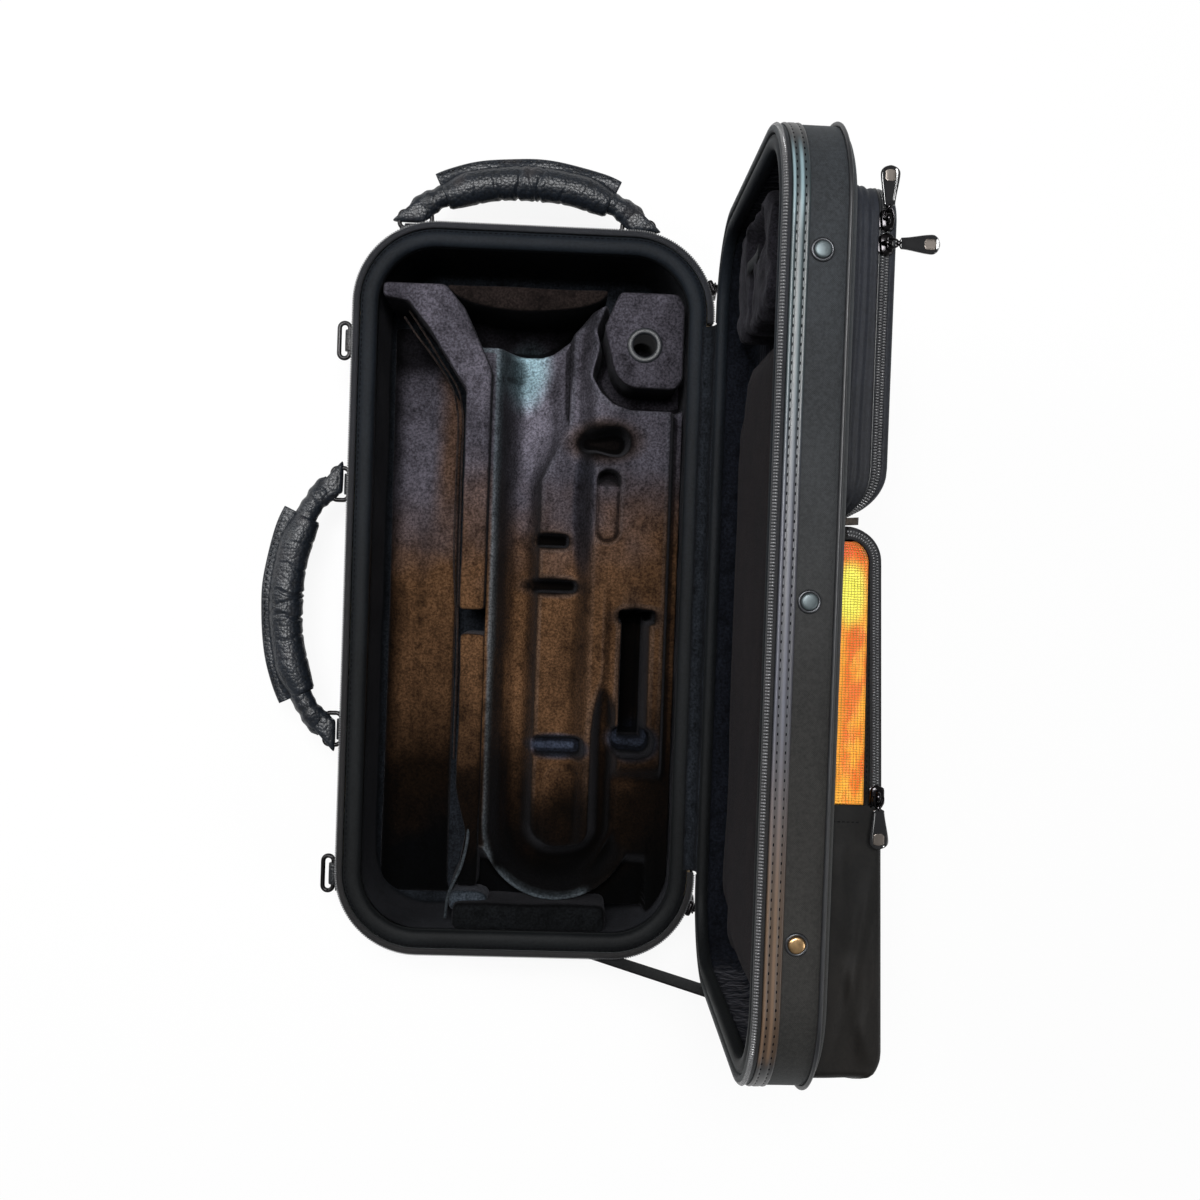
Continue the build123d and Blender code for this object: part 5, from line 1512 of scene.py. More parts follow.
# %% [markdown]
# A cloth hinge joins the halves. Outside, a strip of nylon is sewn to both. Inside, a soft gusset
# closes the gap. Both cross the hinge. The last number of each point in a section says how far the
# cloth's slack moves that point.

# %% Hinge cloths
hinge_half = 205.0


def cloth_strip(name, section, finish, slot, node, sag=0.4):
    """A thin closed strip along the hinge, with a little slack."""
    places = np.linspace(-hinge_half, hinge_half, 120)
    grid = []
    for y in places:
        slack = sag * math.sin(y / 9.0 + 1.4 * math.sin(y / 31.0))
        grid.append([(x + slack * pull, y, z + slack * pull * 0.6) for x, z, pull in section])
    across = across_of([(x, z) for x, z, _ in section])
    pattern = Pattern().grid(np.array(grid), places, across, tube=True, turn=True)
    pattern.cap(np.array(grid[0]))
    pattern.cap(np.array(grid[-1]), turn=True)
    piece = pattern.make(name, finish, slot, None, (node,), weld=0.001)
    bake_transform(piece)
    return piece


bow = np.linspace(0, math.pi / 2, 9)
bow_reach = 5.6
outer = [(136.2 + 0.1, 86.0, 0.0), (136.4, 98.0, 0.3)]
outer += [(136.6 + bow_reach * (1 - math.cos(a)), 98.4 + bow_reach * math.sin(a), 0.5) for a in bow]
outer += [(148.0, 104.1, 0.2), (154.6, 104.4, 0.0)]
inner = [(x - 0.9 if k < 7 else x, z + (0.4 if k < 7 else 0.5), pull) for k, (x, z, pull) in enumerate(outer)]
cloth_strip("hinge_cloth", outer + inner[::-1], spine_cloth, "nylon_cover", "hinge_spine")
crease = [(126.5, 104.9, 0.0), (129.5, 105.0, 0.6), (132.0, 106.4, 1.0), (134.2, 108.8, 1.0),
          (135.3, 111.5, 0.6), (135.4, 114.5, 0.0)]
back = [(x + 0.6, z - 0.6, pull) for x, z, pull in crease]
cloth_strip("hinge_gusset_cloth", crease + back[::-1], lining_velvet, "velvet", "hinge_gusset",
            sag=0.9)
print("hinge cloths hung")

# %% [markdown]
# The stay is a webbing strap with an eyelet rivet at each end. It folds as the lid shuts. Webbing
# has a flat section with rounded selvedges.

# %% Stay strap and its rivets
stay_low = np.array((45.0, -277.1, 69.0))
stay_high = np.array((157.0, -277.1, 181.0))
stay_way = (stay_high - stay_low) / np.linalg.norm(stay_high - stay_low)
stay_ends = (stay_low - stay_way * 9.0, stay_high + stay_way * 9.0)
route = np.array([stay_ends[0] + (stay_ends[1] - stay_ends[0]) * t for t in np.linspace(0, 1, 90)])
half = 9.6
over_half = [(-half, 0.0), (-half + 0.4, 0.55), (-half + 1.4, 0.68), (0.0, 0.70), (half - 1.4, 0.68),
             (half - 0.4, 0.55)]
selvedge = over_half + [(-across, -rise) for across, rise in over_half]
taper = np.array([1.0] * len(route))
taper[:3] = taper[-3:][::-1] = (0.72, 0.88, 0.96)
strap = tube_along(route, selvedge, up=(0, -1, 0), scale=taper).make(
    "stay_webbing", webbing, "webbing", None, ("stay_strap",), weld=0.001)
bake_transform(strap)
rivet_cap = dome(5.2, 1.1, 0.3) + [(5.5, 0.1), (5.5, 0.0)]
for name, place, body in (("stay_base_rivet", stay_low, "base"), ("stay_lid_rivet", stay_high, "lid")):
    head = spin(rivet_cap, (place[0], -278.1, place[2]), (0, -1, 0))
    head.make(f"{name}_cap", rivet_metal, "rivet_metal", body, (name,), weld=0.002)
    shank = spin([(0.01, 0.0), (2.2, 0.0), (2.2, 3.4), (0.01, 3.4)], (place[0], -275.0, place[2]),
                 (0, -1, 0), 20)
    shank.make(f"{name}_shank", rivet_metal, "rivet_metal", body, weld=0.002)
    washer = spin([(0.01, 0.0), (5.4, 0.0), (5.4, 0.9), (0.01, 0.9)], (place[0], -275.3, place[2]),
                  (0, -1, 0), 28)
    washer.make(f"{name}_washer", rivet_metal, "rivet_metal", body, weld=0.002)
print("stay riveted")

# %% [markdown]
# Each handle is a stitched leather tube bent to a low arch, with a thick pebbled grip wrapped round
# its middle. The grip's two edges are sewn together outside and stand up as a flap. Where the grip
# bends it creases, deepest on the side that faces the wall. The handle lies along local u, its arch
# reaches out along local v, and w is its thickness.

# %% Handles
core_radius = 8.0
fold_rows = ((-9.9, 0.60), (-9.4, 0.85), (-8.2, 0.99), (-4.0, 1.06), (0.0, 1.10))
fold_rows += tuple((-u, scale) for u, scale in fold_rows[-2::-1])


def ring_frame(joint):
    """A handle's pin line middle, and its three directions in the row frame."""
    place, along, _ = joint_place(joint)
    past = abs(place) > (half_width, half_length, np.inf)
    out = np.where(past, place, 0.0)
    return place, along, out / np.linalg.norm(out), np.array((0.0, 0.0, 1.0))


def set_out(frame_, points):
    """World places for points of (along, out, up) from the pin line's middle."""
    place, along, out, up = frame_
    points = np.asarray(points, float)
    return place + points[..., :1] * along + points[..., 1:2] * out + points[..., 2:3] * up


def arch(half):
    """The handle's centre line, from points along half of it, mirrored."""
    points = [(-x, y, 0.0) for x, y in half] + [(x, y, 0.0) for x, y in half[-2::-1]]
    return smooth_line(points, 1.6)


def core_section(steps=22):
    """A leather tube's section: round, with the raised seam on its outer side."""
    angles = np.linspace(0, 2 * math.pi, steps, endpoint=False)
    seam = 0.9 * np.exp(-((angles - math.pi) / 0.35) ** 2)
    return np.stack([(core_radius + seam) * np.cos(angles), core_radius * np.sin(angles)], 1)


def handle_core(name, frame_, half, ring_far, body, node):
    line = arch(half)
    reach = distances_of(line)
    end = np.minimum(reach, reach[-1] - reach)
    crimp = 1.04 - 0.13 * (0.5 + 0.5 * np.cos(end / 1.5)) * np.exp(-((end - 17.0) / 10.0) ** 2)
    crimp *= 0.86 + 0.14 * step(end, 0.0, 6.0)
    section = core_section()
    _, side, rise = frames_of(line, (0, 0, 1))
    flat = 1.0 - 0.50 * (1.0 - step(end, 1.0, 13.0))
    wide = 1.0 + 0.20 * (1.0 - step(end, 3.0, 24.0))
    sideways = side[:, None] * (section[:, 0] * (crimp * wide)[:, None])[..., None]
    upwards = rise[:, None] * (section[:, 1] * (crimp * flat)[:, None])[..., None]
    pattern = Pattern().closed_tube(set_out(frame_, line[:, None] + sideways + upwards), turn=True)
    pattern.make(f"{name}_arch", leather, "grip_leather", body, (node,), weld=0.01)
    # The thick ends fold round the ring, and their cut edges hang over it towards the wall.
    for count, side_ in enumerate((-1, 1)):
        fold = [(ring_far + 10.0, 4.4), (ring_far + 4.0, 4.9), (ring_far - 2.0, 4.7)] + [
            (ring_far - 4.6 - 3.8 * math.cos(a), -4.2 * math.sin(a)) for a in np.linspace(-1.2, 1.2, 9)] + [
            (ring_far - 2.0, -4.7), (ring_far + 4.0, -4.9), (ring_far + 10.0, -4.4)]
        rows = [[(side_ * (half[0][0] + 1.0 - 0.75 * (v - ring_far)) + u * (1.0 - 0.030 * (v - ring_far)),
                  ring_far + (v - ring_far) * (0.7 + 0.3 * scale),
                  w * scale * (1.0 + 0.05 * math.sin(u + v))) for v, w in fold] for u, scale in fold_rows]
        pattern = Pattern().closed_tube(set_out(frame_, rows))
        pattern.make(f"{name}_fold_{count + 1}", leather, "grip_leather", body, weld=0.01)


grip_creases = ((-0.62, 0.5, 1.0), (-0.36, 0.8, 2.2), (-0.12, 1.5, 0.4), (0.05, 1.1, 3.0), (0.15, 1.5, 1.2),
                (0.44, 0.6, 0.2), (0.74, 0.5, 2.0))


def handle_grip(name, frame_, length, half, body, node, radius=12.6, flap=6.4):
    """The wrapped grip: a padded tube along the arch, creased where it bends, with a stitched flap."""
    line = arch(half)
    count = 132
    us = np.linspace(-length / 2, length / 2, count)
    centre = np.stack([us, np.interp(us, line[:, 0], line[:, 1]), np.zeros(count)], 1)
    _, side, rise = frames_of(centre, (0, 0, 1))
    share = us / (length / 2)
    swell = 1.0 - 0.07 * step(abs(share), 0.80, 1.0) - 0.10 * step(abs(share), 0.965, 1.0)
    swell = swell + 0.02 * np.sin(us / 9.0 + 1.0)
    thick = 1.9
    angles = np.linspace(0.16, 2 * math.pi - 0.16, 40)
    around = np.array([(radius * math.cos(a), radius * math.sin(a)) for a in angles])
    tip = radius + flap
    section = np.array([(tip, 0.8), (tip - 1.2, thick), (radius + 0.8, thick), *around,
                        (radius + 0.8, -thick), (tip - 1.2, -thick), (tip, -0.8)])
    turn = np.concatenate([np.zeros(3), angles, np.zeros(3)])
    on_tube = np.concatenate([np.zeros(3), np.ones(len(angles)), np.zeros(3)])
    pinch = np.zeros((count, len(turn)))
    for place, deep, phase in grip_creases:
        wander = place * length / 2 + 2.2 * np.sin(turn * 1.5 + phase) + 0.8 * np.sin(turn * 4.0 + 2 * phase)
        reach = 0.35 + 0.65 * (0.5 - 0.5 * np.cos(turn)) ** 0.7
        off = us[:, None] - wander
        pinch += deep * (1.5 * np.exp(-(off / 1.5) ** 2) - 0.62 * np.exp(-(off / 5.0) ** 2)) * reach
    inner = (0.5 + 0.5 * np.cos(turn)) * on_tube
    shrink = swell[:, None] - pinch * on_tube / radius - 0.30 * step(abs(share), 0.66, 1.0)[:, None] * inner
    shrink = np.where(on_tube > 0, shrink, 1.0)
    wave = 0.9 * np.sin(us / 8.0)
    lift = np.maximum(0.0, section[:, 0] - radius) / flap
    out_ = section[:, 0] * shrink - (section[:, 0] > radius) * 0.6 * (abs(share)[:, None] ** 6)
    up_ = section[:, 1] * shrink + wave[:, None] * lift
    grid = centre[:, None] - side[:, None] * out_[..., None] + rise[:, None] * up_[..., None]
    pattern = Pattern().closed_tube(set_out(frame_, grid))
    pattern.make(f"{name}_wrap", leather, "grip_leather", body, (node,), weld=0.01)
    stitches = Pattern()
    picks = np.arange(3, count - 3, 4)
    for side_ in (-1.0, 1.0):
        height = side_ * (thick + 0.25) + 0.5 * wave[picks]
        at = centre[picks] - side[picks] * (tip - 2.6) + rise[picks] * height[:, None]
        along = np.gradient(set_out(frame_, centre), axis=0)[picks]
        along /= np.linalg.norm(along, axis=1)[:, None]
        up = np.tile(frame_[3] * side_, (len(picks), 1))
        teeth(stitches, set_out(frame_, at), along, np.cross(up, along), up, 0.8, length=2.4, height=0.35)
    stitches.make(f"{name}_stitches", tab_leather, "grip_leather", body)


ring_far = 13.0
side_half = [(94.0, 12.5), (90.5, 17.2), (85.5, 22.2), (79.0, 27.0), (71.5, 31.2), (62.0, 35.4), (47.0, 40.0),
             (31.0, 43.4), (15.0, 45.5), (0.0, 46.0)]
end_half = [(85.0, 12.0), (81.5, 15.8), (76.5, 19.8), (70.5, 23.4), (62.0, 27.6), (47.0, 32.4), (31.0, 36.0),
            (15.0, 38.1), (0.0, 38.8)]
for name, half, length in (("side_handle", side_half, 139.0), ("end_handle", end_half, 130.0)):
    spot = ring_frame(f"{name}_swing")
    handle_core(name, spot, half, ring_far, name, f"{name}_core")
    handle_grip(name, spot, length, half, name, f"{name}_grip")
print("handles wrapped")

# %% [markdown]
# A ring is bent wire with a welded joint. The rings hang in leather loops sewn and riveted to the
# wall. A loop is a folded strap: it comes up the wall, goes round the ring's straight side and back.

# %% Rings, wall loops and their rivets
wire_radius = 1.75
wall = -6.3
loop_rows = ((-11.0, 0.965), (-10.5, 0.99), (-8.0, 1.0), (0.0, 1.004), (8.0, 1.0), (10.5, 0.99),
             (11.0, 0.965))


def wire_ring(name, frame_, centre, width, reach, body, node):
    bend = min(4.2, reach / 2)
    angles = np.linspace(0, math.pi / 2, 7)
    corners = [(1, 1), (-1, 1), (-1, -1), (1, -1)]
    line = []
    for k, (sx, sy) in enumerate(corners):
        for a in angles:
            turn = a + k * math.pi / 2
            cx, cy = sx * (width / 2 - bend), reach / 2 + sy * (reach / 2 - bend)
            line.append((centre + cx + bend * math.cos(turn), cy + bend * math.sin(turn), 0.0))
    line = np.array(line)
    _, side, rise = frames_of(np.concatenate([line[-1:], line, line[:1]]), (0, 0, 1))
    section = np.array(circle(wire_radius, 12))
    grid = line[:, None] + side[1:-1, None] * section[:, :1] + rise[1:-1, None] * section[:, 1:]
    pattern = Pattern().grid(set_out(frame_, grid), ring=True, tube=True)
    pattern.make(name, ring_steel, "ring_steel", body, (node,) if node else (), weld=0.001)


def wall_loop(name, frame_, centre):
    """A leather tab: a plate on the wall, and the fold that holds the ring."""
    fold = [(3.55 * math.cos(a), 3.75 * math.sin(a))
            for a in np.linspace(math.pi * 0.62, -math.pi * 0.62, 17)]
    section = [(wall, 13.6), (wall + 0.6, 14.0), (wall + 2.3, 13.4), (wall + 2.6, 7.0), (wall + 4.6, 4.4),
               *fold,
               (wall + 4.6, -4.6), (wall + 2.8, -8.0), (wall + 2.6, -20.0), (wall + 2.3, -25.4),
               (wall + 0.6, -26.0), (wall, -25.4)]
    out, up = np.array(section).T
    narrow = np.where(out > -2.0, 0.74, 1.0) * np.where(abs(up) > 12.0, 0.94, 1.0)
    rows = [np.stack([centre + u * narrow, wall + (out - wall) * scale, up * scale], 1)
            for u, scale in loop_rows]
    pattern = Pattern().closed_tube(set_out(frame_, rows), turn=True)
    pattern.make(name, tab_leather, "grip_leather", "base", weld=0.01)
    stitches = Pattern()
    down = [[(centre + s, wall + 2.75, -v) for v in np.arange(10.0, 24.0, 2.3)] for s in (-9.3, 9.3)]
    spots = np.concatenate(down + [[(centre + u, wall + 2.75, -24.0) for u in np.arange(-8.0, 8.5, 2.3)]])
    at = set_out(frame_, spots)
    upright = abs(spots[:, 0] - centre) > 9.0
    along = np.where(upright[:, None], frame_[3], frame_[1])
    across = np.where(upright[:, None], frame_[1], frame_[3])
    teeth(stitches, at, along, across, np.tile(frame_[2], (len(at), 1)), 0.6, length=1.5, height=0.3)
    stitches.make(f"{name}_stitches", seam_thread, "grip_leather", "base")


rivet_profile = dome(2.7, 0.9, 0.5, 5) + [(3.2, 0.35), (3.2, 0.0)]
loops = [("side_handle", (-96.0, 96.0), 25.0, ring_far, "side_handle_rings"),
         ("end_handle", (-87.0, 87.0), 25.0, ring_far, "end_handle_rings"),
         ("strap_ring_high", (0.0,), 27.0, 8.0, "strap_ring_high"),
         ("strap_ring_low", (0.0,), 27.0, 8.0, "strap_ring_low")]
first_rivet = True
for name, centres, width, reach, node in loops:
    spot = ring_frame(f"{name}_swing")
    for count, centre in enumerate(centres):
        wire_ring(f"{name}_wire_{count + 1}", spot, centre, width, reach, name, node if count == 0 else None)
        wall_loop(f"{name}_tab_{count + 1}", spot, centre)
        for hand, side_ in (("left", -5.5), ("right", 5.5)):
            at = set_out(spot, (centre + side_, -3.65, -14.6))
            head = spin(rivet_profile, at, spot[2], 24)
            nodes = ("tab_rivets",) if first_rivet else ()
            head.make(f"{name}_rivet_{count + 1}_{hand}", rivet_metal, "rivet_metal", "base", nodes,
                      weld=0.002)
            first_rivet = False
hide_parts(*[n for n in frame["nodes"] if n.endswith("_tabs")])
print("rings and loops hung")

# %% [markdown]
# Two pockets stand on the lid's outer face. The upper one is a deep gusset with a zipped front. Its
# low end curls down to the lid, because nothing fills it. The gusset's nylon is soft, so it has
# long creases round it, and a cord is sewn into each of its edges.

# %% Upper pocket
gusset_low, gusset_high = box_of("upper_pocket_gusset")
pocket_x = gusset_low[0]
pocket_middle = (gusset_low + gusset_high) / 2
pocket_outline = Outline((gusset_high[1] - gusset_low[1]) / 2, (gusset_high[2] - gusset_low[2]) / 2, 22.0,
                         step=5.0, centre=pocket_middle[1:])


def on_pocket(u, v, height):
    """World places on the upper pocket. Heights are measured out from the lid."""
    u = np.asarray(u, float)
    low = np.clip((gusset_low[1] + 27.0 - u) / 27.0, 0.0, 1.0)
    curl = np.sqrt(1.0 - 0.84 * low ** 2)
    slant = 6.5 * step(u, 214.0, 238.0) * (1.0 - np.clip(np.asarray(height, float) / 30.0, 0.0, 1.0))
    return np.stack(np.broadcast_arrays(pocket_x + height * curl, u + slant, v), -1).astype(float)


def gusset_creases(along, height):
    """Long soft creases round the gusset, which wander a little."""
    wander = 0.9 * np.sin(along / 70.0) + 0.5 * np.sin(along / 23.0 + 1.0)
    dip = sum(deep * np.exp(-((height - place - wander * share) / wide) ** 2)
              for place, deep, wide, share in ((5.0, 1.3, 1.5, 0.9), (9.4, 0.8, 1.3, 1.2),
                                               (13.8, 1.2, 1.6, 0.8)))
    swell = 0.35 * np.sin(height / 20.0 * math.pi)
    return np.where((height > 0.8) & (height < 19.6), swell - dip + 0.2 * np.sin(along / 13.0), 0.0)


gusset_deep = gusset_high[0] - pocket_x
outer_wall = [(0.1, h) for h in np.arange(0.2, gusset_deep, 0.8)] + [(0.3, gusset_deep)]
gusset_section = outer_wall + [(3.0, gusset_deep), (3.0, 0.2)]
gusset = band_round(pocket_outline, gusset_section, on_pocket, puff=gusset_creases)
gusset.make("upper_pocket_gusset_cloth", soft_nylon, "nylon_cover", "lid", ("upper_pocket_gusset",),
            weld=0.001)


def pocket_cord(name, height, radius, inset, body):
    angles = np.linspace(0, 2 * math.pi, 9, endpoint=False)
    section = [(inset - radius * math.cos(a), height + radius * math.sin(a)) for a in angles]
    band_round(pocket_outline, section, on_pocket).make(name, piping_vinyl, "nylon_cover", body, weld=0.001)


pocket_cord("upper_pocket_foot_cord", 1.3, 1.2, 0.2, "lid")
pocket_cord("upper_pocket_edge_cord", gusset_deep - 1.1, 0.75, 0.1, "lid")

chain_low = box_of("upper_pocket_zip")[0][0] - pocket_x
chain_high = box_of("upper_pocket_zip")[1][0] - pocket_x
chain_mid = (chain_low + chain_high) / 2
tape_section = [(0.9, chain_low), (0.6, chain_low + 0.4), (0.6, chain_high - 0.4), (0.9, chain_high),
                (2.7, chain_high), (2.7, chain_low)]
band_round(pocket_outline, tape_section, on_pocket).make(
    "upper_pocket_zip_tape", tape_cloth, "zip_tape", "lid", ("upper_pocket_zip",), weld=0.001)
tooth_count = int(pocket_outline.length / 1.6)
for count, (shift, slip) in enumerate(((-1.2, 0.0), (1.2, 0.5))):
    spots, normals = pocket_outline.sample((np.arange(tooth_count) + slip) * pocket_outline.length
                                           / tooth_count, 0.2)
    at = on_pocket(spots[:, 0], spots[:, 1], np.full(tooth_count, chain_mid + shift))
    out = np.concatenate([np.zeros((tooth_count, 1)), normals], 1)
    rise = np.tile((1.0, 0.0, 0.0), (tooth_count, 1))
    pocket_coil = teeth(Pattern(), at, np.cross(rise, out), rise, out, 2.3, length=1.0, height=0.9)
    pocket_coil.make(f"upper_pocket_coil_{count + 1}", coil_plastic, "zip_tape", "lid")

# The front is a padded panel: its edge is rolled, and its face swells towards the middle.
front_low = box_of("upper_pocket_front")[0][0] - pocket_x
front_high = box_of("upper_pocket_front")[1][0] - pocket_x
roll = [(3.4 - 3.4 * math.cos(a), front_high - 3.4 + 3.4 * math.sin(a) - 0.6)
        for a in np.linspace(0, math.pi / 2, 7)]
front_section = [(12.0, front_low), (0.6, front_low), (0.1, front_low + 0.5)] + roll + [
    (inset, front_high - 0.6 + 0.6 * step(inset, 4.0, 12.0)) for inset in (5.0, 7.0, 9.0, 12.0, 15.0, 19.0)]
front_puff = lambda along, height: np.where(height < front_high - 1.0, 0.25 * np.sin(along / 17.0), 0.0)
front = band_round(pocket_outline, front_section, on_pocket, closed=False, puff=front_puff)
inner_edge = pocket_outline.at(19.0)
rings = [inner_edge]
for share in (0.88, 0.74, 0.58, 0.40, 0.22, 0.06):
    rings.append(pocket_middle[1:] + (inner_edge - pocket_middle[1:]) * share)
rings = np.stack(rings, 1)
ripple = 0.5 * np.sin(rings[..., 0] / 21.0 + 0.6 * np.sin(rings[..., 1] / 33.0))
ripple = ripple * np.sin(rings[..., 1] / 27.0 + 1.0)
ripple[:, 0] = 0.0
face_grid = on_pocket(rings[..., 0], rings[..., 1], front_high + np.minimum(ripple, 0.0) * 1.6)
front.grid(face_grid, along=np.append(pocket_outline.along, pocket_outline.length),
           across=np.arange(8) * 12.0,
           ring=True, turn=True)
front.cap(face_grid[:, -1])
front.cap(pocket_outline.sweep(front_section[:1], on_pocket)[:, 0], turn=True)
front.make("upper_pocket_front_panel", soft_nylon, "nylon_cover", "pocket_flap", ("upper_pocket_front",),
           weld=0.01)
print("upper pocket sewn")

# %% [markdown]
# The lower pocket is one big soft bag. It is thin at its top and deep at its foot. Its free side
# has a long window of net, a zip that turns the top corner and runs down beside it, and below that
# plain nylon that falls in curved folds. The shell of the bag is one grid: rows down the pocket, and
# columns that start at the window, go over the front and down the far side to the lid.

# %% Lower pocket
bag_low, bag_high = box_of("lower_pocket_body")
bag_thin, bag_thick, bag_corner = 27.5, bag_high[0] - bag_low[0], 20.0
window_top, window_foot = 39.5, -109.0
front_slope = (bag_thick - bag_thin) / (bag_high[1] - bag_low[1] - 2 * bag_corner)


def bag_depth(y):
    """How far the bag stands out from the lid."""
    y = np.asarray(y, float)
    upper, lower = bag_high[1] - bag_corner, bag_low[1] + bag_corner
    depth = bag_thin + front_slope * (upper - np.clip(y, lower, upper))
    over = np.maximum(y - upper, 0.0) + np.maximum(lower - y, 0.0)
    return depth - bag_corner + np.sqrt(np.maximum(bag_corner ** 2 - over ** 2, 0.0))


def bag_half(y):
    """Half the bag's width, which follows the lid's rounded corners."""
    core = corner_core[1]
    low = np.clip(core - 2.0 * core - np.asarray(y, float), 0.0, 57.5)
    return np.minimum(pocket_half, corner_core[0] + np.sqrt(58.0 ** 2 - low ** 2))


def window_left(y):
    over = np.clip((np.asarray(y, float) - 31.5) / 8.0, 0.0, 1.0)
    return 1.8 + 5.0 * (1.0 - np.sqrt(1.0 - over ** 2))


def window_right(y):
    """The window's outer edge, which keeps its distance from the zip round the corner."""
    over = np.clip(np.asarray(y, float) - 27.0, 0.0, 12.5)
    return 7.3 + np.sqrt(12.65 ** 2 - over ** 2) + 0.035 * (27.0 - np.minimum(y, 27.0)) * 0.5


def bag_folds(x, y):
    """How far the free side's nylon stands up or sinks, in millimetres."""
    fold = np.zeros(np.broadcast(x, y).shape)
    for start_x, start_y, run, lean, height, wide in (
            (27.0, -140.0, 110.0, -15.0, 2.0, 3.4), (34.0, -168.0, 84.0, -8.0, 1.7, 3.6),
            (10.0, -126.0, 62.0, 4.0, 1.2, 3.8), (18.0, -190.0, 66.0, 13.0, 1.8, 4.2)):
        t = (start_y - y) / run
        centre = start_x + lean * np.abs(t) ** 1.6 * np.sign(t)
        shown = step(t, 0.0, 0.3) * (1 - step(t, 0.75, 1.1))
        fold = fold + height * np.exp(-((x - centre) / wide) ** 2) * shown
    sag = -1.6 * step(-y, 120.0, 230.0) * np.exp(-((x - 22.0) / 11.0) ** 2)
    return fold + sag


pocket_half = (bag_high[2] - bag_low[2]) / 2
pocket_z = (bag_high[2] + bag_low[2]) / 2
plate_low, plate_high = box_of("blank_badge")
plate_y = (plate_low[1] + plate_high[1]) / 2
rows_y = np.concatenate([bag_high[1] - 0.2 - 1.6 * np.linspace(0, 1, 4) ** 2,
                         np.arange(44.5, window_top, -1.5), [window_top],
                         [window_top], np.arange(window_top - 0.4, 20.0, -0.9),
                         np.arange(20.0, window_foot, -3.0),
                         [window_foot], [window_foot], np.arange(window_foot - 2.0, -252.0, -3.0),
                         np.linspace(-253.0, bag_low[1] + 0.3, 9)])
open_rows = np.zeros(len(rows_y), bool)
first_open = int(np.argmax(rows_y == window_top)) + 1
last_open = int(np.argmax(rows_y == window_foot))
open_rows[first_open:last_open + 1] = True
round_ = 4.5
bag = []
for y, opened in zip(rows_y, open_rows):
    depth, half = float(bag_depth(y)), float(bag_half(y))
    start = float(window_right(y)) if opened else 0.1
    turn = min(round_, depth - start - 0.3)
    near = [(x, half) for x in np.linspace(start, depth - turn, 20)]
    arc = [(depth - turn + turn * math.sin(a), half - turn + turn * math.cos(a))
           for a in np.linspace(0, math.pi / 2, 7)[1:]]
    front_ = [(depth, w) for w in np.linspace(half - turn, -half + turn, 32)[1:-1]]
    back = [(x, -w) for x, w in arc[::-1]] + [(x, -half) for x in np.linspace(depth - turn, 0.1, 9)]
    first = (start, half - 1.3) if opened else (0.1, half - 0.1)
    section = np.array([first, *near, *arc, *front_, *back])
    x, w = section[:, 0], section[:, 1]
    side = (w > half - 0.05) * step(depth - x, 1.0, 6.0) * step(x - start, 0.0, 2.0)
    rise = bag_folds(x, y) * side
    sink_ = (abs(w) < half - 0.3) * (x > depth - 0.01) * step(half - abs(w), 4.0, 22.0)
    level = 1.0 - step(28.0 - abs(y - plate_y), 0.0, 8.0) * step(40.0 - abs(w), 0.0, 8.0)
    swell = -sink_ * level * (0.8 + 0.8 * np.sin(w / 24.0 + 0.5 * math.sin(y / 31.0))
                              * math.sin(y / 27.0 + 0.8))
    bag.append(np.stack([pocket_x + x + swell, np.full(len(x), y), pocket_z + w + rise], 1))
bag = np.array(bag)
sheet = Pattern().grid(bag, along=np.append(-rows_y, 0.0), turn=True)
sheet.cap(bag[0], turn=True).cap(bag[-1])
left_rows = rows_y[first_open:last_open + 1]
shares = np.linspace(0, 1, 5)
left = np.stack([np.concatenate([0.1 + (window_left(y) - 0.1) * shares, [window_left(y)]])
                 for y in left_rows])
drop = np.array([0.1, 0, 0, 0, 0, 1.3])
left_grid = np.stack([pocket_x + left, np.repeat(left_rows[:, None], 6, 1),
                      pocket_z + pocket_half - np.tile(drop, (len(left_rows), 1))], -1)
sheet.grid(left_grid, along=np.append(-left_rows, 0.0))
for edge_y in (window_top, window_foot):
    ends = [(float(window_left(edge_y)), edge_y), (float(window_right(edge_y)), edge_y)]
    strip_ = np.array([[(pocket_x + x, y, pocket_z + pocket_half - d) for x, y in ends] for d in (0.0, 1.3)])
    sheet.grid(strip_)
sheet.make("lower_pocket_bag", bag_nylon, "nylon_cover", "lid", ("lower_pocket_body",), weld=0.01)

# %% The window: a lining with a painted glow behind real net
window_rows = np.arange(window_foot + 0.2, window_top - 0.1, 1.6)
inside = []
for y in window_rows:
    x = np.linspace(window_left(y) - 0.6, window_right(y) + 0.6, 13)
    inside.append(np.stack([pocket_x + x, np.full(13, y),
                            pocket_z + pocket_half - 1.9 - 0.35 * np.sin(x / 2.3 + y / 9.0)
                            * math.sin(y / 7.0)], 1))
inside = np.array(inside)
Pattern().grid(inside, along=np.append(window_rows, 0.0)).make(
    "window_lining", orange_lining, "orange_mesh", "lid", ("mesh_panel",), weld=0.001)


def net_strand(pattern, line, thick):
    """A thin square strand through points that lie on the window."""
    line = np.asarray(line, float)
    along = np.gradient(line, axis=0)
    along /= np.linalg.norm(along, axis=1)[:, None] + 1e-9
    across = np.cross(along, (0.0, 0.0, 1.0))
    up = np.array((0.0, 0.0, 1.0))
    ring = [line + across * (a * thick) + up * (b * thick) for a, b in ((-1, 0), (0, 1), (1, 0))]
    pattern.grid(np.stack(ring, 1))


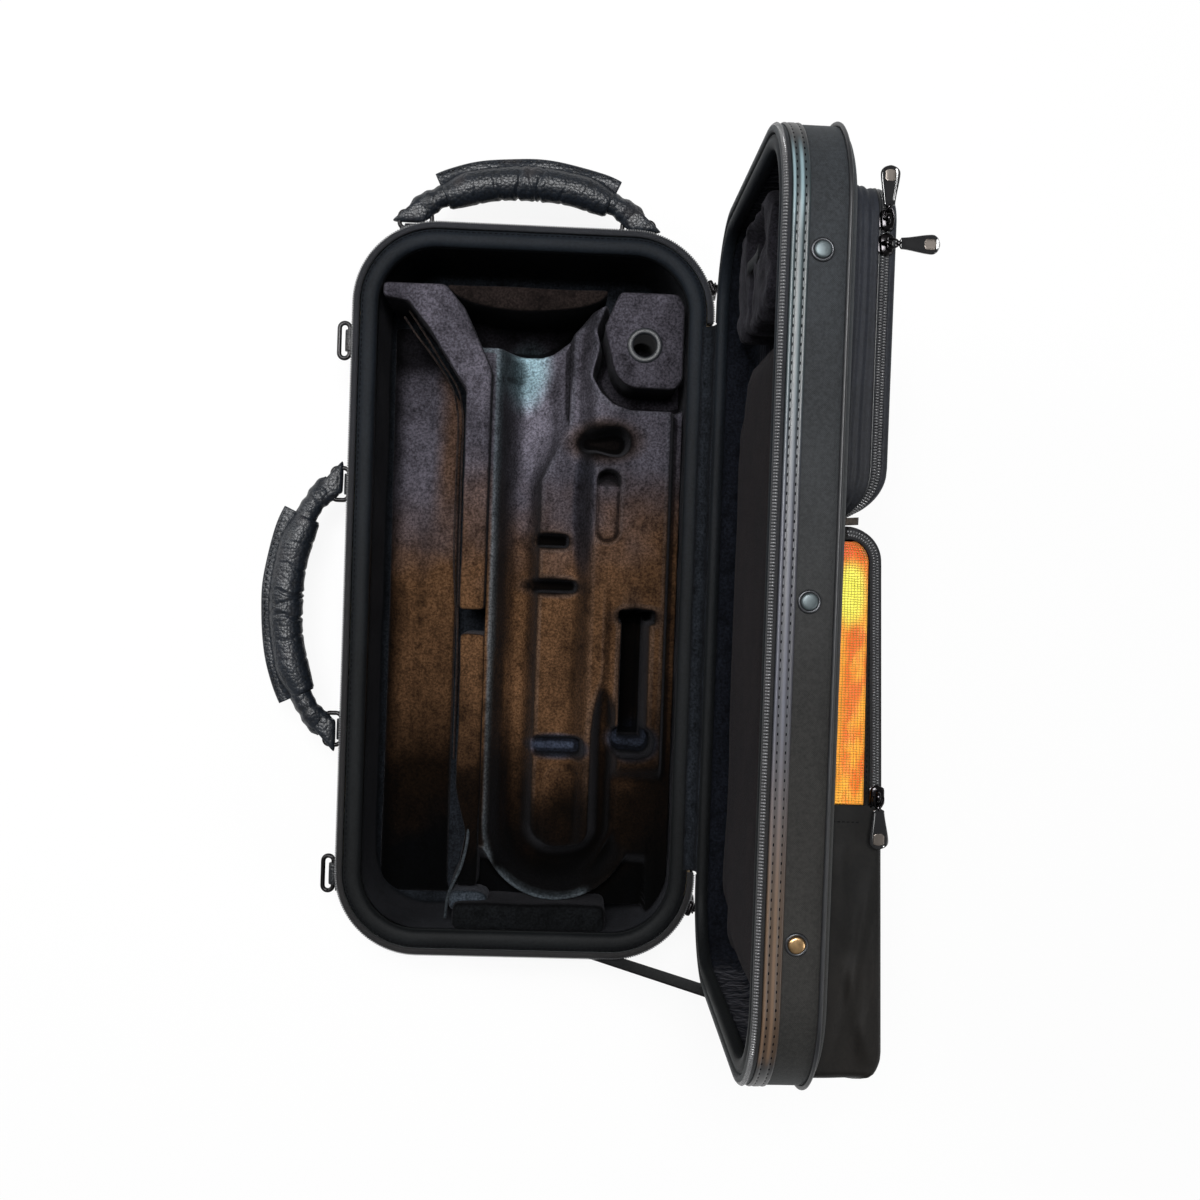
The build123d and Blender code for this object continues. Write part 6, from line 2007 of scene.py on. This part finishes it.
net = Pattern()
net_z = pocket_z + pocket_half - 1.15
for share in np.linspace(0.03, 0.97, 11):
    y = np.arange(window_foot, window_top - 0.4, 3.2)
    x = window_left(y) + (window_right(y) - window_left(y)) * share + 0.12 * np.sin(y / 5.0 + share * 9.0)
    net_strand(net, np.stack([pocket_x + x, y, net_z + 0.16 * np.sin(y * 1.9 + share * 40.0)], 1), 0.17)
for count, y in enumerate(np.arange(window_foot + 0.8, window_top - 0.8, 1.45)):
    x = np.linspace(window_left(y), window_right(y), 8)
    net_strand(net, np.stack([pocket_x + x, y + 0.18 * np.sin(x / 2.2 + count),
                              net_z + 0.10 * np.sin(x * 1.7 + count)], 1), 0.17)
net.make("window_net", orange_net, "orange_mesh", "lid")
print("window netted")

# %% Lower pocket's zip, stitches, tab and plain plate
corner_middle = (bag_thin - bag_corner, bag_high[1] - bag_corner)
turn_radius = bag_corner - 4.0
chain = [(corner_middle[0] + turn_radius * math.cos(a), corner_middle[1] + turn_radius * math.sin(a))
         for a in np.linspace(math.pi / 2, 0, 12)]
chain += [(corner_middle[0] + turn_radius + front_slope * (corner_middle[1] - y), y)
          for y in np.linspace(corner_middle[1] - 8.0, window_foot, 18)]
chain_z = box_of("lower_pocket_zip")[1][2] - 0.75
chain_line = smooth_line([(pocket_x + x, y, chain_z) for x, y in chain], 1.55)
chain_along, chain_side, chain_up = frames_of(chain_line, (0, 0, 1))
tape = Pattern()
tape_shape = [(-3.3, -0.1), (-3.0, 0.25), (3.0, 0.25), (3.3, -0.1)]
tape.grid(np.stack([chain_line + chain_side * a + chain_up * b for a, b in tape_shape], 1), tube=True)
tape.make("lower_pocket_zip_tape", tape_cloth, "zip_tape", "lid", ("lower_pocket_zip",), weld=0.001)
for count, side_ in enumerate((-1.0, 1.0)):
    at = chain_line + chain_side * (0.95 * side_) + chain_along * (0.4 * side_) + chain_up * 0.2
    coil = teeth(Pattern(), at, chain_along, chain_side, chain_up, 1.8, length=0.95, height=0.8)
    coil.make(f"lower_pocket_coil_{count + 1}", coil_plastic, "zip_tape", "lid")
seams = Pattern()
lines = [[(x, -118.5) for x in np.arange(6.0, 21.0, 2.6)], [(0.9, y) for y in np.arange(-105.0, 26.0, 3.0)],
         [(float(window_right(y)) + 1.2, y) for y in np.arange(-105.0, 20.0, 3.0)]]
for spots, down in zip(lines, (False, True, True)):
    at = np.array([(pocket_x + x, y, pocket_z + pocket_half + 0.05) for x, y in spots])
    a, b = ((0, 1, 0), (1, 0, 0)) if down else ((1, 0, 0), (0, 1, 0))
    teeth(seams, at, np.tile(a, (len(at), 1)), np.tile(b, (len(at), 1)), np.tile((0, 0, 1), (len(at), 1)),
          0.5, length=1.5, height=0.25)
seams.make("lower_pocket_stitches", seam_thread, "nylon_cover", "lid")

# A folded tab of webbing stands between the two pockets.
tab_low, tab_high = box_of("pocket_tab")
fold_line = [(0.0, -0.3), (4.2, -0.2), (8.6, 0.3), (9.5, 1.0), (8.8, 1.7), (4.2, 1.5), (0.0, 1.3)]
tab_rows = [[(tab_low[0] + 1.35 * x, tab_high[1] - 0.2 + share * 4.2 + 0.10 * x,
              tab_low[2] + 0.4 + z + 0.3 * share) for x, z in fold_line]
            for share in np.linspace(0, 1, 5)]
tab = Pattern().grid(np.array(tab_rows), tube=True)
tab.cap(np.array(tab_rows[0]), turn=True).cap(np.array(tab_rows[-1]))
tab.make("pocket_tab_fold", tab_webbing, "webbing", "lid", ("pocket_tab",), weld=0.01)

plate_z = (plate_low[2] + plate_high[2]) / 2
slope_length = math.hypot(1.0, front_slope)
plate_outline = Outline(17.4, (plate_high[2] - plate_low[2]) / 2, 3.0, step=20.0)


def on_front(u, v, height):
    """World places on the lower pocket's front, near the plain plate."""
    x = pocket_x + bag_depth(plate_y) + (0.2 + height) / slope_length - front_slope * u / slope_length
    y = plate_y + u / slope_length + front_slope * height / slope_length
    return np.stack(np.broadcast_arrays(x, y, plate_z + v), -1).astype(float)


plate_section = [(0.3, 0.0), (0.0, 0.2), (0.0, 0.75), (0.25, 1.05), (0.8, 1.2), (1.4, 1.1), (2.4, 1.1)]
plate = band_round(plate_outline, plate_section, on_front, closed=False)
plate.cap(plate_outline.sweep(plate_section[-1:], on_front)[:, 0], turn=True)
plate.make("plain_plate", plate_plastic, "blank_plate", "lid", ("blank_badge",), weld=0.01)
print("lower pocket sewn")

# %% [markdown]
# There are five sliders. Each has the same parts: a plated body on the chain, an arch over its top,
# a link through the arch with a bead in it, and a long tab with a raised rim and a shallow bright
# seat at its end. So one maker builds a slider from the joint of its pull: where the pin is, which
# way it lies, and which way the tab points.

# %% Sliders and pulls
def slider_frame(pull):
    """A pull's pin, and its directions: along the tab, along the pin and out from the chain."""
    pin, axis, reach = joint_place(f"{pull}_pull_swing")
    axis = axis / np.linalg.norm(axis)
    low, high = box_of(pull_nodes[pull])
    down = (low + high) / 2 - pin
    down -= axis * (down @ axis)
    down /= np.linalg.norm(down)
    out = np.cross(axis, down)
    return pin, down, axis, out if reach > 0 else -out


def local(spot, points):
    """World places for points of (along the tab, along the pin, out)."""
    pin, down, axis, out = spot
    points = np.asarray(points, float)
    return pin + points[..., :1] * down + points[..., 1:2] * axis + points[..., 2:3] * out


def rounded_row(along, half, low, high, corner, steps=3):
    """A rounded box section at one place along a piece."""
    corner = min(corner, half * 0.98, (high - low) * 0.49)
    row = []
    for sy, sz, start in ((1, 1, 0.0), (-1, 1, 0.5), (-1, -1, 1.0), (1, -1, 1.5)):
        for a in np.linspace(start, start + 0.5, steps) * math.pi:
            centre_z = high - corner if sz > 0 else low + corner
            row.append((along, sy * (half - corner) + corner * math.cos(a), centre_z + corner * math.sin(a)))
    return row


def wire_grid(spot, line, up, section):
    """A section carried along a line that is given in the slider's own directions."""
    _, side, rise = frames_of(line, up)
    return local(spot, np.stack([line + side * a + rise * b for a, b in section], 1))


def blunt(t, least):
    """How wide a blunt-ended piece is at a share of its half length."""
    return math.sqrt(max(least, 1 - abs(t) ** 7))


slider_base, slider_half = -4.9, 6.0
slider_arch = [(-3.1, 0, -2.2), (-2.7, 0, -0.6), (-1.5, 0, 0.95), (0.2, 0, 1.45), (1.7, 0, 0.95),
               (2.6, 0, -0.6), (3.0, 0, -2.2)]


def slider_body(name, spot, chain_way, body, node):
    """The boat-shaped body, 12 mm long, with the arch that holds the link."""
    pin, down, axis, out = spot
    lie = spot if chain_way == "along" else (pin, axis, down, out)
    base = slider_base
    rows = []
    for t in np.linspace(-1, 1, 15):
        half = (3.55 + 0.65 * step(t, -0.9, 0.5)) * max(0.25, blunt(t, 0.0))
        rows.append(rounded_row(slider_half * t, half, base + 0.05, base + 3.3 - 0.5 * t * t, 1.1))
    grid = local(lie, rows)
    boat = Pattern().grid(grid, tube=True)
    boat.cap(grid[0]).cap(grid[-1], turn=True)
    groove = [rounded_row(slider_half * t, 4.3 * blunt(t, 0.1), base + 1.05, base + 1.45, 0.15)
              for t in np.linspace(-0.97, 0.97, 9)]
    boat.grid(local(lie, groove), tube=True)
    section = [(0.42 * across, 1.1 * rise) for across, rise in circle(1.0, 10)]
    boat.grid(wire_grid(spot, smooth_line(slider_arch, 0.7), (0, 1, 0), section), tube=True)
    boat.make(name, black_nickel, "slider_metal", body, (node,), weld=0.01)


def pull_link(spot, reach):
    """A wire link through the arch, and the bead that joins it to the tab."""
    pattern = Pattern()
    wide = 2.75
    half = [(0.0, -wide), (1.2, -wide - 0.1), (reach - 2.4, -wide + 0.5), (reach - 0.6, -1.2),
            (reach - 0.3, 0.0)]
    loop = [(x, y, 0.0) for x, y in half] + [(x, -y, 0.0) for x, y in half[-2::-1]]
    pattern.grid(wire_grid(spot, smooth_line(loop, 0.8), (0, 0, 1), circle(0.62, 8)), tube=True)
    pin = np.array([(0.0, a, 0.0) for a in np.linspace(-wide, wide, 7)])
    pattern.grid(wire_grid(spot, pin, (0, 0, 1), circle(0.6, 8)), tube=True)
    barrel = [(1.55 * math.sin(a), -1.25 * math.cos(a)) for a in np.linspace(0.2, math.pi - 0.2, 9)]
    bead = [(0.02, -1.25)] + barrel + [(0.02, 1.25)]
    steps = np.linspace(0, 2 * math.pi, 16, endpoint=False)
    ball = np.array([[(reach + 0.2 + 1.35 * r * math.cos(a), r * math.sin(a), h) for r, h in bead]
                     for a in steps])
    pattern.grid(local(spot, ball), ring=True)
    return pattern


def tab_grid(start, end, half_at, edge, top_at, bottom, columns=13):
    """A flat rounded piece along the tab: rows of points across its top, then across its bottom."""
    rows = []
    shares = np.concatenate([np.linspace(0, 0.86, 24),
                             0.86 + 0.14 * np.sin(np.linspace(0.15, math.pi / 2, 8))])
    for t in shares:
        half = half_at(t)
        last = (t - 0.80) / 0.20
        if last > 0:
            half *= math.sqrt(max(0.02, 1 - last ** 2.2))
        half *= math.sqrt(max(0.1, min(1.0, t / edge + 0.3)))
        along = start + (end - start) * t
        top = [(along, c * half, top_at(t, abs(c))) for c in np.linspace(-1, 1, columns)]
        low = [(along, c * half, bottom + (0.3 if abs(c) > 0.9 else 0.0)) for c in np.linspace(1, -1, 7)]
        rows.append(top + low)
    return rows


def closed_tab(name, spot, rows, finish, body):
    grid = local(spot, rows)
    pattern = Pattern().grid(grid, tube=True)
    pattern.cap(grid[0]).cap(grid[-1], turn=True)
    return pattern.make(name, finish, "slider_metal", body, weld=0.005)


def lacquered_top(t, c):
    """The tab's top: a rim, a sunk middle, and a hollow for the seat."""
    sunk = (1 - step(c, 0.66, 0.80)) * step(t, 0.05, 0.10) * (1 - step(t, 0.93, 0.97))
    return 1.0 - 0.35 * max(0.0, c - 0.82) / 0.18 - 0.40 * sunk


pull_nodes = {"main_low": "main_low_pull", "main_high": "main_high_pull",
              "upper_first": "upper_pocket_first_pull",
              "upper_second": "upper_pocket_second_pull", "lower": "lower_pocket_pull"}
for name, node in pull_nodes.items():
    spot = slider_frame(name)
    chain_way = "across" if name == "upper_second" or name.startswith("main") else "along"
    slider_body(f"{name}_slider_body", spot, chain_way, f"{name}_slider", node.replace("_pull", "_slider"))
    body = f"{name}_pull"
    pull_link(spot, 6.2).make(f"{name}_pull_link", black_nickel, "slider_metal", body, (node,), weld=0.005)
    tab_rows = tab_grid(6.6, 28.8, lambda t: 3.1 + 2.3 * step(t, 0.0, 0.85), 0.03, lacquered_top, -0.75)
    closed_tab(f"{name}_pull_tab", spot, tab_rows, pull_lacquer, body)
    seat_rows = tab_grid(20.3, 26.8, lambda t: 3.1, 0.25, lambda t, c: 0.80 - 0.15 * c ** 4, 0.3)
    closed_tab(f"{name}_pull_seat", spot, seat_rows, pull_seat, body)
print("sliders:", len(pull_nodes))


# %% [markdown]
# The case lies on a pale floor under studio light: one lamp high above, near the camera, so that
# level faces are lit and walls fall dark, one from the upper left and a weak one from the right. The
# room is dim, which keeps the hollows deep. Through Light Path the floor reads white to the camera
# and to reflections, and the room to the camera, and the floor keeps a share of its real shading, so
# the case still casts a shadow.

# %% Floor, room and lamps
def pale_floor(size):
    finish = Finish("pale floor")
    finish.set({"Base Color": (0.86, 0.86, 0.86), "Roughness": 0.9})
    seen = finish.node("ShaderNodeLightPath", output=0)
    mirrored = finish.node("ShaderNodeLightPath", output=3)
    through = finish.node("ShaderNodeLightPath", output=6)
    white = finish.node("ShaderNodeEmission", {}, {"Color": (1.0, 1.0, 1.0), "Strength": 1.0})
    mask = seen.highest(mirrored).highest(through) * 0.90
    shader = Strand(finish, finish.shader.outputs[0])
    both = finish.node("ShaderNodeMixShader", {}, {0: mask, 1: shader, 2: white})
    finish.plug(finish.tree.nodes["Material Output"].inputs["Surface"], both)
    half = size / 2
    mesh = bpy.data.meshes.new("floor")
    mesh.from_pydata([(-half, -half, 0), (half, -half, 0), (half, half, 0), (-half, half, 0)], [],
                     [(0, 1, 2, 3)])
    mesh.materials.append(finish.material)
    floor = new_piece("floor", mesh)
    floor.location.z = -0.0004


pale_floor(9.0)

room = bpy.data.worlds.new("pale room")
bpy.context.scene.world = room
room.use_nodes = True
air = room.node_tree
rays = air.nodes.new("ShaderNodeLightPath")
backdrop = air.nodes.new("ShaderNodeBackground")
backdrop.inputs["Color"].default_value = (1.0, 1.0, 1.0, 1.0)
backdrop.inputs["Strength"].default_value = 1.0
soft = air.nodes["Background"]
soft.inputs["Color"].default_value = (1.0, 1.0, 1.0, 1.0)
soft.inputs["Strength"].default_value = 0.17
seen_white = air.nodes.new("ShaderNodeMath")
seen_white.operation = "MAXIMUM"
air.links.new(rays.outputs["Is Camera Ray"], seen_white.inputs[0])
air.links.new(rays.outputs["Is Transmission Ray"], seen_white.inputs[1])
choose = air.nodes.new("ShaderNodeMixShader")
air.links.new(seen_white.outputs[0], choose.inputs[0])
air.links.new(soft.outputs[0], choose.inputs[1])
air.links.new(backdrop.outputs[0], choose.inputs[2])
air.links.new(choose.outputs[0], air.nodes["World Output"].inputs["Surface"])


def lamp(name, place, target, size, power, colour=(1.0, 1.0, 1.0)):
    light = bpy.data.lights.new(name, "AREA")
    light.shape = "RECTANGLE"
    light.size, light.size_y = size
    light.energy = power
    light.color = colour
    stand = new_piece(name, light)
    stand.location = place
    stand.rotation_euler = (Vector(target) - Vector(place)).to_track_quat("-Z", "Y").to_euler()


middle = (0.05, 0.0, 0.12)
lamp("lamp_above", (-0.10, 0.50, 2.2), middle, (0.8, 0.6), 44.0)
lamp("lamp_left", (-1.6, 0.7, 1.3), middle, (0.6, 1.2), 14.0)
lamp("lamp_right", (1.7, -0.7, 1.5), middle, (0.6, 1.0), 8.0)

# %% [markdown]
# The camera looks almost straight down from about a metre, a little nearer the lid, which stands up
# towards it and so looks larger than the base. Its place and its small tilts are given as they are.

# %% Camera and colour
eye = bpy.data.cameras.new("camera")
eye.sensor_width = 36.0
eye.lens = 36.05
eye.clip_start = 0.01
view = new_piece("camera", eye)
view.location = (0.02395, 0.01244, 1.00846)
view.rotation_mode = "ZYX"
view.rotation_euler = tuple(math.radians(turn) for turn in (-0.98, -2.07, 1.97))
bpy.context.scene.camera = view
bpy.context.scene.view_settings.view_transform = "Standard"

# %% [markdown]
# Every CAD node that still shows gets the finish of what it really is. At the end the nodes that
# still show, apart from the kept finishes, are printed as still plain.

# %% Finishes of the CAD nodes that show
kept_finishes = {"base_shell": board, "lid_shell": board, "blank_badge": plate_plastic}
fallback = {s["node"]: s["material_slot"] for s in frame["record"]["subparts"]}
for name, node in frame["nodes"].items():
    other = foam_velvet if "velvet" in fallback[name] else spine_cloth
    node.data.materials.clear()
    node.data.materials.append(kept_finishes.get(name, other))
    evenly_lit(node, smooth=False)
still_plain = sorted(n for n, o in frame["nodes"].items() if not o.hide_render and n not in kept_finishes)
print("CAD nodes still plain:", still_plain)
